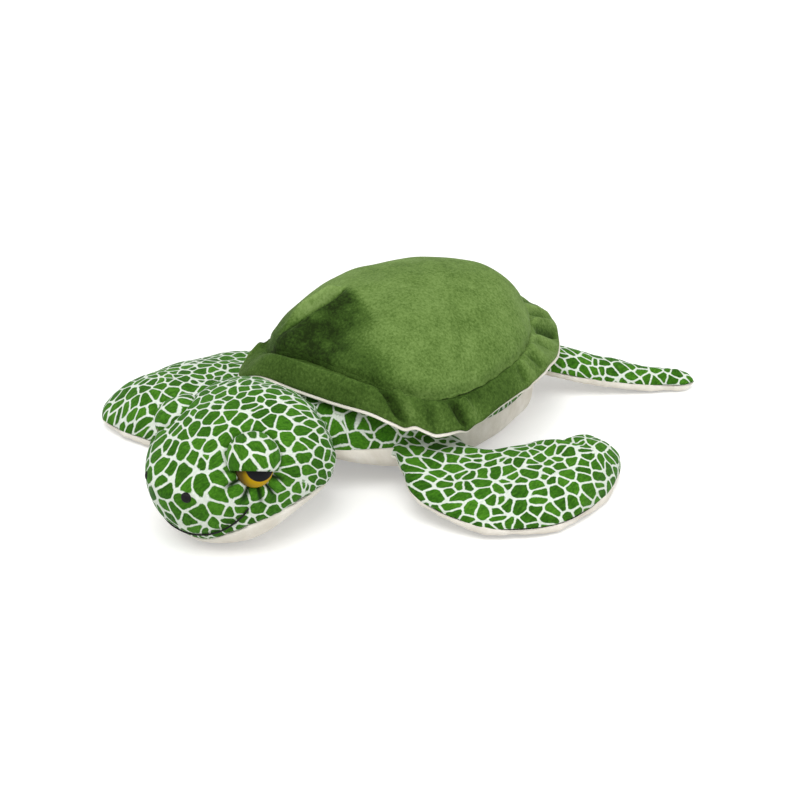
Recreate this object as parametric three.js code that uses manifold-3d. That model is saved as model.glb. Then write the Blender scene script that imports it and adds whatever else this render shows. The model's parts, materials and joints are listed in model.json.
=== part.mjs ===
// A stuffed sea turtle that lies on its belly, in millimetres.
// The head points to -Y, the turtle's left side is +X and the floor is z = 0.
// Each limb is a printed cloth top and a cream underside, sewn round a filling and to the torso at its root.
import * as THREE from "three";
import { mergeVertices } from "three/addons/utils/BufferGeometryUtils.js";
import Module from "manifold-3d";

const wasm = await Module();
wasm.setup();

// Cloth and seams
const clothThickness = 1.6; // short pile with its backing
const seamGap = 0.3; // between two panels, and between a panel and what it holds
const restDepth = 0.5; // how deep a form is pressed flat where it lies on the floor
const overrun = 40; // how far a cutter reaches past what it cuts
const mergeDistance = 1e-4; // corners closer than this are one corner
const probeShare = 0.01; // a small step along a form, to find its direction
const probeAngle = 0.01; // a small step round a form, in radians

// Torso
const torsoFront = -106; // its blunt front end, where the neck seam is
const torsoLength = 246;
const torsoHalfWidth = 84;
const torsoSeamHeight = 37; // the side seam of the printed cover and the cream belly
const torsoRise = 47; // from the side seam to the back, which the shell hides
const torsoWidthShares = [0.54, 0.76, 0.94, 1.02, 1.05, 1, 0.86];
const torsoRiseShares = [0.78, 0.92, 1, 1, 1, 0.92, 0.72];
const torsoDropShares = [0.36, 0.66, 0.96, 1, 1, 0.98, 0.72];
const torsoFrontRoundShare = 0.24; // the share of its length over which an end rounds off
const torsoRearRoundShare = 0.24;
const torsoSidePower = 0.8; // under 1 is boxier than an ellipse, over 1 is thinner at the seam
const torsoUnderPower = 0.48; // of the belly, which the stuffing presses out to steep sides
const torsoRings = 12;
const torsoSides = 20;

// Shell: an oval dome, sewn to the torso's back, with a loose rim
const shellCentre = 25; // along the body
const crownHalfWidth = 95;
const crownFrontReach = 107; // from the shell's centre to the crown's front seam
const crownRearReach = 106;
const crownSeamHeight = 72; // at the sides
const crownFrontLift = 16; // how much higher the seam runs over the neck
const crownRearLift = 9; // and over the tail end
const crownRise = 60; // from the side seams to the top
const rimSideReach = 11; // how far the rim stands out past the crown seam
const rimFrontReach = 10;
const rimRearReach = 48;
const rimSideDrop = 21; // how far its edge hangs below the crown seam
const rimFrontDrop = 12;
const rimRearDrop = 26;
const rimThickness = 5;
const rimRippleHeight = 2.4;
const rimRippleCount = 13;
const crownFrontCornerPower = 0.58; // under 1 gives the oval's front blunt corners
const crownReachPower = 2.2; // over 2 keeps the crown's top broad
const crownDomePower = 0.74; // under 1 makes its sides stand steeper
const rimHangPower = 1.15; // over 1 lets the rim start level and hang at its edge
const shellSides = 36;
const crownRings = 7;
const rimRows = 3;

// Head
const headRear = -100; // the neck seam's end of the head
const headTurnAngle = 10; // degrees that the head lies turned to the turtle's right
const headLength = 147;
const headHalfWidth = 63;
const headSeamHeight = 52; // the height of the widest line
const headRise = 52;
const headWidthShares = [0.6, 0.84, 0.97, 1, 0.93, 0.8, 0.62];
const headRiseShares = [0.52, 0.82, 1, 1, 0.88, 0.66, 0.42];
const headDropShares = [0.26, 0.44, 0.64, 0.8, 0.93, 1, 0.96];
const headRearRoundShare = 0.24;
const headFrontRoundShare = 0.38;
const headSidePower = 0.9;
const headRings = 14;
const headSides = 22;
const chinStartShare = 0.1;
const chinEndShare = 0.86; // along the head, where the chin panel runs out under the snout
const chinHalfAngle = 74; // degrees to each side of the middle of the underside
const chinEdgePower = 4; // the higher, the longer the panel keeps its full width
const chinColumns = 8;

// Eyes: a moulded dome on a shank that goes through the cover to a locking washer
const eyeShare = 0.685; // along the head from the neck
const eyeAngle = 25; // degrees above the head's widest line
const eyeRadius = 13.5;
const eyeBulge = 8;
const eyeShankRadius = 2.2;
const eyeShankLength = 11;
const washerRadius = 8;
const washerThickness = 1.6;
const washerSink = 2; // from the cover's inside to the washer, whose edge has to clear the head's curve
const eyeSkirt = 4; // how far the dome's straight side reaches towards the cloth
const eyelidRadius = 20;
const eyelidLift = 8.5; // how far above the eye the lid is centred
const eyelidBulge = 11.5;
const eyelidTiltAngle = 24; // degrees that the lid's hem slopes down to the rear
const domeSides = 24;
const domeSteps = 5;
const shankSides = 12;

// Nostrils and mouth: black embroidery that stands a little proud of the cloth
const nostrilShare = 0.95;
const nostrilAngle = 12;
const nostrilRadius = 4;
const nostrilProud = 1.2;
const stitchRadius = 0.9;
// The left half of the mouth: how far along the head, and how far down from its widest line to its underside
const mouthShares = [
  [0.74, 0.04],
  [0.82, 0.31],
  [0.88, 0.62],
  [0.905, 1],
];
const mouthSteps = 32;
const stitchSides = 3; // to a quarter of the thread's round

// Front flippers: broad paddles. The left one lies swept back and the right one swept forward.
const frontRootShare = 0.25; // where the root's middle sits along the torso
const frontRootHeight = 32;
const frontLength = 150;
const frontHalfWidth = 60;
const frontRise = 33;
const frontDrop = 9;
const frontLeftTrailShares = [0.5, 0.24, 0.16, 0.36, 0.7, 1.06, 1.34];
const frontRightTrailShares = [1.3, 1.38, 1.3, 1.16, 1, 0.86, 0.7];
const frontLeftLeadShares = [0.62, 1, 1.24, 1.22, 1, 0.66, 0.25];
const frontRightLeadShares = [0.55, 0.9, 1.14, 1.16, 1.06, 0.86, 0.55];
const frontRootFallShare = 0.5; // the share of its length over which it comes down to the floor
const frontRiseShares = [0.5, 0.58, 0.74, 0.92, 0.95, 0.84, 0.55];
const frontLeftSweepAngle = 6; // degrees from straight out, at the root
const frontLeftTipSweepAngle = 60;
const frontRightSweepAngle = -12;
const frontRightTipSweepAngle = -52;
const frontTipRoundShare = 0.2;
const frontRings = 10;
const frontSides = 8; // of each panel

// Rear flippers: slender and swept back
const rearRootShare = 0.965;
const rearRootHeight = 34;
const rearLength = 148;
const rearHalfWidth = 20;
const rearRise = 11;
const rearDrop = 7;
const rearWidthShares = [0.8, 0.95, 1, 0.9, 0.72, 0.5, 0.3];
const rearRootFallShare = 0.95;
const rearRiseShares = [0.6, 0.9, 1, 0.9, 0.75, 0.6, 0.4];
const rearSweepAngle = 34;
const rearTipSweepAngle = 34;
const rearTipRoundShare = 0.14;
const rearRings = 8;
const rearSides = 6;

// What all four flippers share
const flipperTuck = 16; // how far the form reaches into the torso before it is cut
const flipperDropShares = [0.4, 0.7, 1, 1, 1, 1, 1];
const flipperSidePower = 1.15;
const flipperUnderPower = 0.4; // the undersides lie nearly flat and turn up steeply to the seam
const flipperFallPower = 1.5; // over 1 brings the root down steeply first

// Travel of the joints, in degrees. The seam clearances follow from it.
const neckDownAngle = 8;
const neckUpAngle = 8;
const flipperLiftAngle = 12;
const flipperFallAngle = 25;
const travelSteps = 10; // how finely the clearances follow the travel
const neckHeight = 46;

// Colours of the real cloths and parts
const colours = {
  print: 0x4f8a35,
  cream: 0xe0dbd0,
  velour: 0x4f7a30,
  fibre: 0xf2f0ea,
  amber: 0xb5812a,
  black: 0x15130f,
  washer: 0xd8d8d4,
};
const finishes = {
  print: { roughness: 0.85, metalness: 0 },
  cream: { roughness: 0.9, metalness: 0 },
  velour: { roughness: 0.8, metalness: 0 },
  fibre: { roughness: 1, metalness: 0 },
  amber: { roughness: 0.12, metalness: 0 },
  black: { roughness: 0.7, metalness: 0 },
  washer: { roughness: 0.4, metalness: 0 },
};

const radians = THREE.MathUtils.degToRad;

// A smooth curve through shares that are spaced evenly from 0 to 1.
function smoothShare(shares) {
  const places = shares.map((share, index) => index / (shares.length - 1));
  const curve = new THREE.CubicInterpolant(places, shares, 1);
  return (place) => curve.evaluate(THREE.MathUtils.clamp(place, 0, 1))[0];
}

// How full a rounded end is: a quarter ellipse that is complete at the given share of the length.
function roundEnd(place, share) {
  if (share === 0 || place >= share) return 1;
  const left = 1 - place / share;
  return Math.sqrt(Math.max(0, 1 - left * left));
}

function signedPower(value, power) {
  return Math.sign(value) * Math.abs(value) ** power;
}

// A closed manifold from a geometry whose corners are merged and whose empty faces are dropped.
function solidOf(geometry) {
  const bare = geometry.clone();
  bare.deleteAttribute("normal");
  bare.deleteAttribute("uv");
  const merged = mergeVertices(bare, mergeDistance);
  const corners = merged.index.array;
  const kept = [];
  for (let i = 0; i < corners.length; i += 3) {
    const [a, b, c] = corners.slice(i, i + 3);
    if (a !== b && b !== c && c !== a) kept.push(a, b, c);
  }
  return new wasm.Manifold(
    new wasm.Mesh({
      numProp: 3,
      vertProperties: new Float32Array(merged.attributes.position.array),
      triVerts: new Uint32Array(kept),
    }),
  );
}

function geometryOf(solid) {
  const made = solid.getMesh();
  const places = new Float32Array(made.numVert * 3);
  for (let i = 0; i < made.numVert; i++) {
    places.set(made.vertProperties.subarray(i * made.numProp, i * made.numProp + 3), i * 3);
  }
  const geometry = new THREE.BufferGeometry();
  geometry.setAttribute("position", new THREE.BufferAttribute(places, 3));
  geometry.setIndex(new THREE.BufferAttribute(made.triVerts, 1));
  geometry.computeVertexNormals();
  return geometry;
}

function facesGeometry(points, faces) {
  const geometry = new THREE.BufferGeometry();
  geometry.setAttribute("position", new THREE.Float32BufferAttribute(points.flatMap((p) => p.toArray()), 3));
  geometry.setIndex(faces);
  return geometry;
}

// Adds the two faces of one cell of a grid.
function addCell(faces, a, b, c, d) {
  faces.push(a, b, c, a, c, d);
}

// Even steps from 0 to 1, closer together towards a rounded end.
function steps(count, roundStart, roundFinish) {
  return Array.from({ length: count + 1 }, (unused, index) => {
    const even = index / count;
    if (roundStart && roundFinish) return (1 - Math.cos(Math.PI * even)) / 2;
    if (roundFinish) return Math.sin((Math.PI / 2) * even);
    if (roundStart) return 1 - Math.cos((Math.PI / 2) * even);
    return even;
  });
}

// A closed body: rings of points along a form, drawn to a point at each end.
function bodySolid(form, ringCount, sideCount, inset) {
  const points = [];
  const faces = [];
  const along = steps(ringCount, form.roundStart > 0, form.roundFinish > 0);
  for (const place of along) {
    for (let side = 0; side < sideCount; side++) {
      points.push(form.pointAt(place, (side / sideCount) * 2 * Math.PI, inset));
    }
  }
  const middleOf = (ring) => {
    const sum = new THREE.Vector3();
    for (let side = 0; side < sideCount; side++) sum.add(points[ring * sideCount + side]);
    return sum.divideScalar(sideCount);
  };
  const startPole = points.push(middleOf(0)) - 1;
  const endPole = points.push(middleOf(ringCount)) - 1;
  for (let side = 0; side < sideCount; side++) {
    const next = (side + 1) % sideCount;
    for (let ring = 0; ring < ringCount; ring++) {
      const low = ring * sideCount;
      const high = low + sideCount;
      addCell(faces, low + side, low + next, high + next, high + side);
    }
    faces.push(startPole, next, side);
    faces.push(endPole, ringCount * sideCount + side, ringCount * sideCount + next);
  }
  return outward(solidOf(facesGeometry(points, faces)));
}

// Turns a closed body's faces outward if it was built inside out.
function outward(solid) {
  if (solid.volume() > 0) return solid;
  const made = solid.getMesh();
  const turned = made.triVerts.slice();
  for (let i = 0; i < turned.length; i += 3) [turned[i + 1], turned[i + 2]] = [turned[i + 2], turned[i + 1]];
  return new wasm.Manifold(
    new wasm.Mesh({ numProp: made.numProp, vertProperties: made.vertProperties, triVerts: turned }),
  );
}

// A panel of cloth: a patch of a form and, one thickness behind it, its lining face, closed along every edge.
function panelSolid(rowCount, columnCount, pointAt, options = {}) {
  const { wrapsRound = false, depths = [0, clothThickness] } = options;
  const points = [];
  const faces = [];
  const width = columnCount + 1;
  for (const inset of depths) {
    for (let row = 0; row <= rowCount; row++) {
      for (let column = 0; column <= columnCount; column++) {
        const round = wrapsRound && column === columnCount ? 0 : column;
        points.push(pointAt(row, round, inset));
      }
    }
  }
  const behind = points.length / 2;
  for (let row = 0; row < rowCount; row++) {
    for (let column = 0; column < columnCount; column++) {
      const a = row * width + column;
      const b = a + 1;
      const c = b + width;
      const d = a + width;
      addCell(faces, a, b, c, d);
      addCell(faces, behind + a, behind + d, behind + c, behind + b);
    }
  }
  const addEdge = (a, b) => addCell(faces, b, a, behind + a, behind + b);
  for (let column = 0; column < columnCount; column++) {
    addEdge(column, column + 1);
    addEdge(rowCount * width + column + 1, rowCount * width + column);
  }
  for (let row = 0; row < rowCount && !wrapsRound; row++) {
    addEdge((row + 1) * width, row * width);
    addEdge(row * width + columnCount, (row + 1) * width + columnCount);
  }
  return outward(solidOf(facesGeometry(points, faces)));
}

// A stuffed form: sections that swell and taper along a spine in plan.
// An angle of 0 is the seam on the spine's right, 90 degrees is the top and 180 the seam on its left.
function stuffedForm(sizes) {
  const widthAt = smoothShare(sizes.widthShares);
  const riseAt = smoothShare(sizes.riseShares);
  const dropAt = smoothShare(sizes.dropShares);
  const otherWidthAt = smoothShare(sizes.otherWidthShares ?? sizes.widthShares);
  const endsAt = (place) => roundEnd(place, sizes.roundStart) * roundEnd(1 - place, sizes.roundFinish);
  return {
    ...sizes,
    pointAt(place, angle, inset = 0, lift = 0) {
      const startInset = sizes.roundStart > 0 ? inset : 0;
      const distance = startInset + place * (sizes.length - startInset - inset);
      const spine = sizes.spineAt(distance);
      const ends = endsAt(place);
      const widthShare = Math.cos(angle) >= 0 ? widthAt(place) : otherWidthAt(place);
      const across = (sizes.halfWidth * widthShare - inset) * ends;
      const above = (sizes.rise * riseAt(place) - inset) * ends;
      const below = (sizes.drop * dropAt(place) - inset) * ends;
      const isAbove = Math.sin(angle) >= 0;
      const power = isAbove ? sizes.sidePower : (sizes.underPower ?? sizes.sidePower);
      const sideways = across * signedPower(Math.cos(angle), power);
      const up = (isAbove ? above : below) * signedPower(Math.sin(angle), power);
      return new THREE.Vector3(
        spine.x + sideways * spine.across.x,
        spine.y + sideways * spine.across.y,
        spine.z + up + lift,
      );
    },
  };
}

// The upper or the under panel of a stuffed form, whose edges meet the other panel at the side seams.
function halfPanel(form, rowCount, columnCount, isTop) {
  const along = steps(rowCount, form.roundStart > 0, form.roundFinish > 0);
  const start = isTop ? 0 : Math.PI;
  const lift = isTop ? seamGap / 2 : -seamGap / 2;
  return panelSolid(rowCount, columnCount, (row, column, inset) =>
    form.pointAt(along[row], start + (column / columnCount) * Math.PI, inset, lift),
  );
}

// Torso
function straightSpine(start, direction, turn, height) {
  return (distance) => ({
    x: direction * distance * Math.sin(turn),
    y: start + direction * distance * Math.cos(turn),
    z: height,
    across: { x: Math.cos(turn), y: -Math.sin(turn) },
  });
}

const torsoForm = stuffedForm({
  length: torsoLength,
  halfWidth: torsoHalfWidth,
  rise: torsoRise,
  drop: torsoSeamHeight + restDepth,
  widthShares: torsoWidthShares,
  riseShares: torsoRiseShares,
  dropShares: torsoDropShares,
  roundStart: torsoFrontRoundShare,
  roundFinish: torsoRearRoundShare,
  sidePower: torsoSidePower,
  underPower: torsoUnderPower,
  spineAt: straightSpine(torsoFront, 1, 0, torsoSeamHeight),
});

// What every neighbour of the torso keeps clear of.
const torsoKeepOut = bodySolid(torsoForm, torsoRings, torsoSides, -seamGap);

const floorGeometry = new THREE.BoxGeometry(
  2 * (frontLength + torsoLength),
  2 * (frontLength + torsoLength),
  overrun,
).translate(0, 0, -overrun / 2);
const floor = solidOf(floorGeometry);

function pressedFlat(solid) {
  return solid.subtract(floor);
}

// Shell. A place is an angle round the oval, 0 at the left side and 90 degrees at the tail end, and a reach.
function shellOutline(angle, inset, sideReach, frontReach, rearReach) {
  const cosine = Math.cos(angle);
  const sine = Math.sin(angle);
  const endReach = sine < 0 ? crownFrontReach + frontReach : crownRearReach + rearReach;
  const power = sine < 0 ? crownFrontCornerPower : 1;
  return {
    x: (crownHalfWidth + sideReach - inset) * signedPower(cosine, power),
    y: shellCentre + (endReach - inset) * signedPower(sine, power),
  };
}

function crownSeamHeightAt(angle) {
  const lift = Math.sin(angle) < 0 ? crownFrontLift : crownRearLift;
  return crownSeamHeight + lift * Math.sin(angle) ** 2;
}

// The crown's surface: reach is 0 at its top and 1 at its seam.
function crownPoint(reach, angle, inset) {
  const outline = shellOutline(angle, inset, 0, 0, 0);
  const seam = crownSeamHeightAt(angle);
  const top = crownSeamHeight + crownRise - inset;
  const fullness = (1 - reach ** crownReachPower) ** crownDomePower;
  return new THREE.Vector3(
    outline.x * reach,
    shellCentre + (outline.y - shellCentre) * reach,
    seam + (top - seam) * fullness,
  );
}

// The rim's upper face: reach is 0 at the crown seam and 1 at its hanging edge.
function rimPoint(reach, angle, depth) {
  const endShare = Math.sin(angle) ** 2;
  const isFront = Math.sin(angle) < 0;
  const endDrop = isFront ? rimFrontDrop : rimRearDrop;
  const drop = rimSideDrop + (endDrop - rimSideDrop) * endShare;
  const ripple = rimRippleHeight * reach * Math.cos(rimRippleCount * angle);
  const outline = shellOutline(
    angle,
    -seamGap,
    rimSideReach * reach,
    rimFrontReach * reach,
    rimRearReach * reach,
  );
  return new THREE.Vector3(
    outline.x,
    outline.y,
    crownSeamHeightAt(angle) - drop * reach ** rimHangPower + ripple - depth,
  );
}

function crownPanel() {
  const pointAt = (row, column, inset) => {
    const reach = Math.sin((Math.PI / 2) * (row / crownRings));
    return crownPoint(reach, (column / shellSides) * 2 * Math.PI, inset);
  };
  return panelSolid(crownRings, shellSides, pointAt, { wrapsRound: true });
}

function shellFilling() {
  const inset = clothThickness + seamGap;
  const points = [];
  const faces = [];
  for (let ring = 0; ring <= crownRings; ring++) {
    const reach = Math.sin((Math.PI / 2) * (ring / crownRings));
    for (let side = 0; side < shellSides; side++) {
      points.push(crownPoint(reach, (side / shellSides) * 2 * Math.PI, inset));
    }
  }
  const base = points.push(new THREE.Vector3(0, shellCentre, torsoSeamHeight)) - 1;
  for (let side = 0; side < shellSides; side++) {
    const next = (side + 1) % shellSides;
    for (let ring = 0; ring < crownRings; ring++) {
      const low = ring * shellSides;
      const high = low + shellSides;
      addCell(faces, low + side, high + side, high + next, low + next);
    }
    faces.push(base, crownRings * shellSides + next, crownRings * shellSides + side);
  }
  return outward(solidOf(facesGeometry(points, faces))).subtract(torsoKeepOut);
}

// A closed ring of cloth along the rim, from one depth below its upper face to another.
function rimRing(topDepth, bottomDepth) {
  const pointAt = (row, column, depth) => rimPoint(row / rimRows, (column / shellSides) * 2 * Math.PI, depth);
  return panelSolid(rimRows, shellSides, pointAt, { wrapsRound: true, depths: [topDepth, bottomDepth] });
}

const liningDepth = rimThickness + seamGap;
const rimSolid = rimRing(0, rimThickness).subtract(torsoKeepOut);
const rimLiningSolid = rimRing(liningDepth, liningDepth + clothThickness).subtract(torsoKeepOut);
const rimKeepOut = rimRing(-seamGap, liningDepth + clothThickness + seamGap);

// A hinge: a point and a direction, with the travel on either side of rest in degrees.
function turnedAbout(solid, hinge, degrees) {
  const spin = new THREE.Matrix4().makeRotationAxis(hinge.axis, radians(degrees));
  const place = new THREE.Matrix4()
    .makeTranslation(hinge.point.x, hinge.point.y, hinge.point.z)
    .multiply(spin)
    .multiply(new THREE.Matrix4().makeTranslation(-hinge.point.x, -hinge.point.y, -hinge.point.z));
  return solid.transform(place.elements);
}

// Cuts a moving piece so that it stays clear of what it moves against over the hinge's whole travel.
function clearOverTravel(solid, keepOuts, hinge) {
  const turns = steps(travelSteps).map((share) => hinge.low + share * (hinge.high - hinge.low));
  let cut = solid;
  for (const keepOut of keepOuts) {
    for (const turn of turns) cut = cut.subtract(turnedAbout(keepOut, hinge, -turn));
  }
  return cut;
}

// Flippers
// A spine that leaves the torso at one heading and bends evenly to another, while it comes down to the floor.
function sweptSpine(root, heading, tipHeading, length, floorHeight, fallShare, side) {
  const bend = (tipHeading - heading) / length;
  return (distance) => {
    const turn = heading + bend * distance;
    const chord = bend === 0 ? distance : (2 / bend) * Math.sin((bend * distance) / 2);
    const middleTurn = (heading + turn) / 2;
    const left = Math.max(0, 1 - distance / (fallShare * length));
    return {
      x: side * (root.x + chord * Math.cos(middleTurn)),
      y: root.y + chord * Math.sin(middleTurn),
      z: floorHeight + (root.z - floorHeight) * left ** flipperFallPower,
      across: { x: -side * Math.sin(turn), y: Math.cos(turn) },
    };
  };
}

// The torso's outline in plan at a share of its length: the side point and the direction of its side.
function torsoSideAt(share) {
  const here = torsoForm.pointAt(share, 0);
  const next = torsoForm.pointAt(share + probeShare, 0);
  return { point: here, direction: next.sub(here).setZ(0).normalize() };
}

function flipperLayout(name, side, sizes) {
  const seat = torsoSideAt(sizes.rootShare);
  const root = {
    x: seat.point.x - flipperTuck * Math.cos(radians(sizes.sweep)),
    y: seat.point.y - flipperTuck * Math.sin(radians(sizes.sweep)),
    z: sizes.rootHeight,
  };
  const form = stuffedForm({
    length: sizes.length + flipperTuck,
    halfWidth: sizes.halfWidth,
    rise: sizes.rise,
    drop: sizes.drop,
    widthShares: sizes.widthShares,
    otherWidthShares: sizes.otherWidthShares,
    riseShares: sizes.riseShares,
    dropShares: flipperDropShares,
    roundStart: 0,
    roundFinish: sizes.tipRoundShare,
    sidePower: flipperSidePower,
    underPower: flipperUnderPower,
    spineAt: sweptSpine(
      root,
      radians(sizes.sweep),
      radians(sizes.tipSweep),
      sizes.length + flipperTuck,
      sizes.drop - restDepth,
      sizes.rootFallShare,
      side,
    ),
  });
  // A positive turn lifts the tip on either side of the body.
  const axis = new THREE.Vector3(side * seat.direction.x, seat.direction.y, 0).multiplyScalar(-side);
  const hinge = {
    point: new THREE.Vector3(side * (seat.point.x + seamGap), seat.point.y, sizes.rootHeight),
    axis,
    low: -flipperFallAngle,
    high: flipperLiftAngle,
  };
  return { name, form, hinge, rings: sizes.rings, sides: sizes.sides };
}

const frontSizes = {
  rootShare: frontRootShare,
  rootHeight: frontRootHeight,
  length: frontLength,
  halfWidth: frontHalfWidth,
  rise: frontRise,
  drop: frontDrop,
  rootFallShare: frontRootFallShare,
  riseShares: frontRiseShares,
  tipRoundShare: frontTipRoundShare,
  rings: frontRings,
  sides: frontSides,
};
const rearSizes = {
  rootShare: rearRootShare,
  rootHeight: rearRootHeight,
  length: rearLength,
  halfWidth: rearHalfWidth,
  rise: rearRise,
  drop: rearDrop,
  widthShares: rearWidthShares,
  otherWidthShares: rearWidthShares,
  rootFallShare: rearRootFallShare,
  riseShares: rearRiseShares,
  tipRoundShare: rearTipRoundShare,
  rings: rearRings,
  sides: rearSides,
  sweep: rearSweepAngle,
  tipSweep: rearTipSweepAngle,
};
const frontLeftSizes = {
  ...frontSizes,
  widthShares: frontLeftTrailShares,
  otherWidthShares: frontLeftLeadShares,
  sweep: frontLeftSweepAngle,
  tipSweep: frontLeftTipSweepAngle,
};
const frontRightSizes = {
  ...frontSizes,
  widthShares: frontRightTrailShares,
  otherWidthShares: frontRightLeadShares,
  sweep: frontRightSweepAngle,
  tipSweep: frontRightTipSweepAngle,
};
const flippers = [
  flipperLayout("front_left", 1, frontLeftSizes),
  flipperLayout("front_right", -1, frontRightSizes),
  flipperLayout("rear_left", 1, rearSizes),
  flipperLayout("rear_right", -1, rearSizes),
];

// Head
const headForm = stuffedForm({
  length: headLength,
  halfWidth: headHalfWidth,
  rise: headRise,
  drop: headSeamHeight + restDepth,
  widthShares: headWidthShares,
  riseShares: headRiseShares,
  dropShares: headDropShares,
  roundStart: headRearRoundShare,
  roundFinish: headFrontRoundShare,
  sidePower: headSidePower,
  spineAt: straightSpine(headRear, -1, radians(headTurnAngle), headSeamHeight),
});
const neckHinge = {
  point: new THREE.Vector3(0, torsoFront - seamGap, neckHeight),
  axis: new THREE.Vector3(-1, 0, 0),
  low: -neckDownAngle,
  high: neckUpAngle,
};

// The whole skin of the head, closed all round.
function headSkin() {
  const along = steps(headRings, true, true);
  const angles = steps(headSides).map((share) => share * 2 * Math.PI);
  const pointAt = (row, column, inset) => headForm.pointAt(along[row], angles[column], inset);
  return panelSolid(headRings, headSides, pointAt, { wrapsRound: true });
}

const underside = -Math.PI / 2;

// The chin's patch of the head, with a margin added along its edge.
function chinPatch(margin, depths) {
  const along = steps(headRings, true, true);
  const marginShare = margin / headLength;
  const marginAngle = margin / headHalfWidth;
  const start = chinStartShare - marginShare;
  const reach = chinEndShare + marginShare - start;
  const pointAt = (row, column, inset) => {
    const fullness = Math.sqrt(1 - (2 * along[row] - 1) ** chinEdgePower);
    const half = radians(chinHalfAngle) * fullness + marginAngle;
    const share = (2 * column) / chinColumns - 1;
    return headForm.pointAt(start + reach * along[row], underside + share * half, inset);
  };
  return panelSolid(headRings, chinColumns, pointAt, { depths });
}

const fillInset = clothThickness + seamGap;
const headKeepOut = bodySolid(headForm, headRings, headSides, -seamGap);
const chinKeepOut = chinPatch(seamGap, [0, fillInset]);
const chinOpening = chinPatch(seamGap, [-2 * clothThickness, 3 * clothThickness]);

// A place on the head: its point, the direction straight out of the cloth and the direction up over the head.
function headPlace(place, angle) {
  const point = headForm.pointAt(place, angle);
  const along = headForm.pointAt(place + probeShare, angle).sub(point).normalize();
  const up = headForm.pointAt(place, angle + probeAngle).sub(point).normalize();
  const out = new THREE.Vector3().crossVectors(up, along).normalize();
  const centre = headForm.pointAt(place, 0).add(headForm.pointAt(place, Math.PI)).multiplyScalar(0.5);
  if (out.dot(point.clone().sub(centre)) < 0) out.negate();
  if (up.z < 0) up.negate();
  return { point, out, up: up.addScaledVector(out, -up.dot(out)).normalize() };
}

// Stands a geometry that was made round the Y axis on a place, its Y axis pointing out of the cloth.
function standOn(geometry, spot, lift = 0) {
  const side = new THREE.Vector3().crossVectors(spot.out, spot.up);
  const frame = new THREE.Matrix4().makeBasis(side, spot.out, spot.up.clone());
  frame.setPosition(spot.point.clone().addScaledVector(spot.up, lift));
  return outward(solidOf(geometry.clone().applyMatrix4(frame)));
}

// A place turned on the cloth: its upward direction leans to the head's rear.
function leanBack(spot, degrees) {
  const side = new THREE.Vector3().crossVectors(spot.out, spot.up);
  const rear = side.y > 0 ? side : side.negate();
  const up = spot.up.clone().multiplyScalar(Math.cos(radians(degrees)));
  return { ...spot, up: up.addScaledVector(rear, Math.sin(radians(degrees))) };
}

function eyeSpot(angle) {
  return leanBack(headPlace(eyeShare, angle), eyelidTiltAngle);
}

// A dome of a given radius and bulge with a straight skirt below it, round the Y axis.
function domeGeometry(radius, bulge, skirt) {
  const profile = [new THREE.Vector2(0, -skirt), new THREE.Vector2(radius, -skirt)];
  for (let index = 0; index <= domeSteps; index++) {
    const turn = (index / domeSteps) * (Math.PI / 2);
    profile.push(new THREE.Vector2(radius * Math.cos(turn), bulge * Math.sin(turn)));
  }
  profile[profile.length - 1].x = 0;
  return new THREE.LatheGeometry(profile, domeSides);
}

// A rod round the Y axis from one height to another.
function rodGeometry(radius, low, high, sides) {
  return new THREE.CylinderGeometry(radius, radius, high - low, sides).translate(0, (low + high) / 2, 0);
}

const washerDepth = clothThickness + washerSink;
const shankClearance = eyeShankRadius + seamGap;
const washerBottom = -washerDepth - washerThickness;

function eyeSolid(spot) {
  const dome = standOn(domeGeometry(eyeRadius, eyeBulge, eyeSkirt), spot).subtract(headKeepOut);
  return dome.add(standOn(rodGeometry(eyeShankRadius, -eyeShankLength, eyeBulge / 2, shankSides), spot));
}

function eyeWasherSolid(spot) {
  const disc = standOn(rodGeometry(washerRadius, washerBottom, -washerDepth, domeSides), spot);
  return disc.subtract(shankHole(spot));
}

// The lid: a padded dome over the eye's upper half, with a straight hem across the eye's middle.
function eyelidSolid(spot) {
  const eyeKeepOut = domeGeometry(eyeRadius + seamGap, eyeBulge + seamGap, eyeSkirt + seamGap);
  const belowHem = new THREE.BoxGeometry(2 * overrun, 2 * overrun, overrun).translate(0, 0, -overrun / 2);
  return standOn(domeGeometry(eyelidRadius, eyelidBulge, eyeSkirt), spot, eyelidLift)
    .subtract(headKeepOut)
    .subtract(standOn(eyeKeepOut, spot))
    .subtract(standOn(belowHem, spot));
}

function shankHole(spot) {
  return standOn(rodGeometry(shankClearance, washerBottom - seamGap, overrun, shankSides), spot);
}

// The room that the washer and the shank take up in the filling.
function washerPocket(spot) {
  const room = rodGeometry(washerRadius + seamGap, washerBottom - seamGap, overrun, domeSides);
  const shankRoom = rodGeometry(shankClearance, -eyeShankLength - seamGap, overrun, shankSides);
  return standOn(room, spot).add(standOn(shankRoom, spot));
}

function nostrilSolid(angle) {
  const spot = headPlace(nostrilShare, angle);
  return standOn(domeGeometry(nostrilRadius, nostrilProud, nostrilRadius), spot).subtract(headKeepOut);
}

// The mouth: one raised line of stitches from the left corner round under the snout to the right corner.
function mouthSolid() {
  const half = mouthShares.map(([place, share]) => [place, share * underside]);
  const far = half.slice(0, -1).reverse().map(([place, angle]) => [place, Math.PI - angle]);
  const points = [...half, ...far].map(([place, angle]) => {
    const spot = headPlace(place, angle < -Math.PI / 2 ? angle + 2 * Math.PI : angle);
    return spot.point.addScaledVector(spot.out, stitchRadius + seamGap / 2);
  });
  const section = new THREE.Shape().absarc(0, 0, stitchRadius, 0, 2 * Math.PI);
  return outward(
    solidOf(
      new THREE.ExtrudeGeometry(section, {
        steps: mouthSteps,
        curveSegments: stitchSides,
        extrudePath: new THREE.CatmullRomCurve3(points),
      }),
    ),
  );
}

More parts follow.
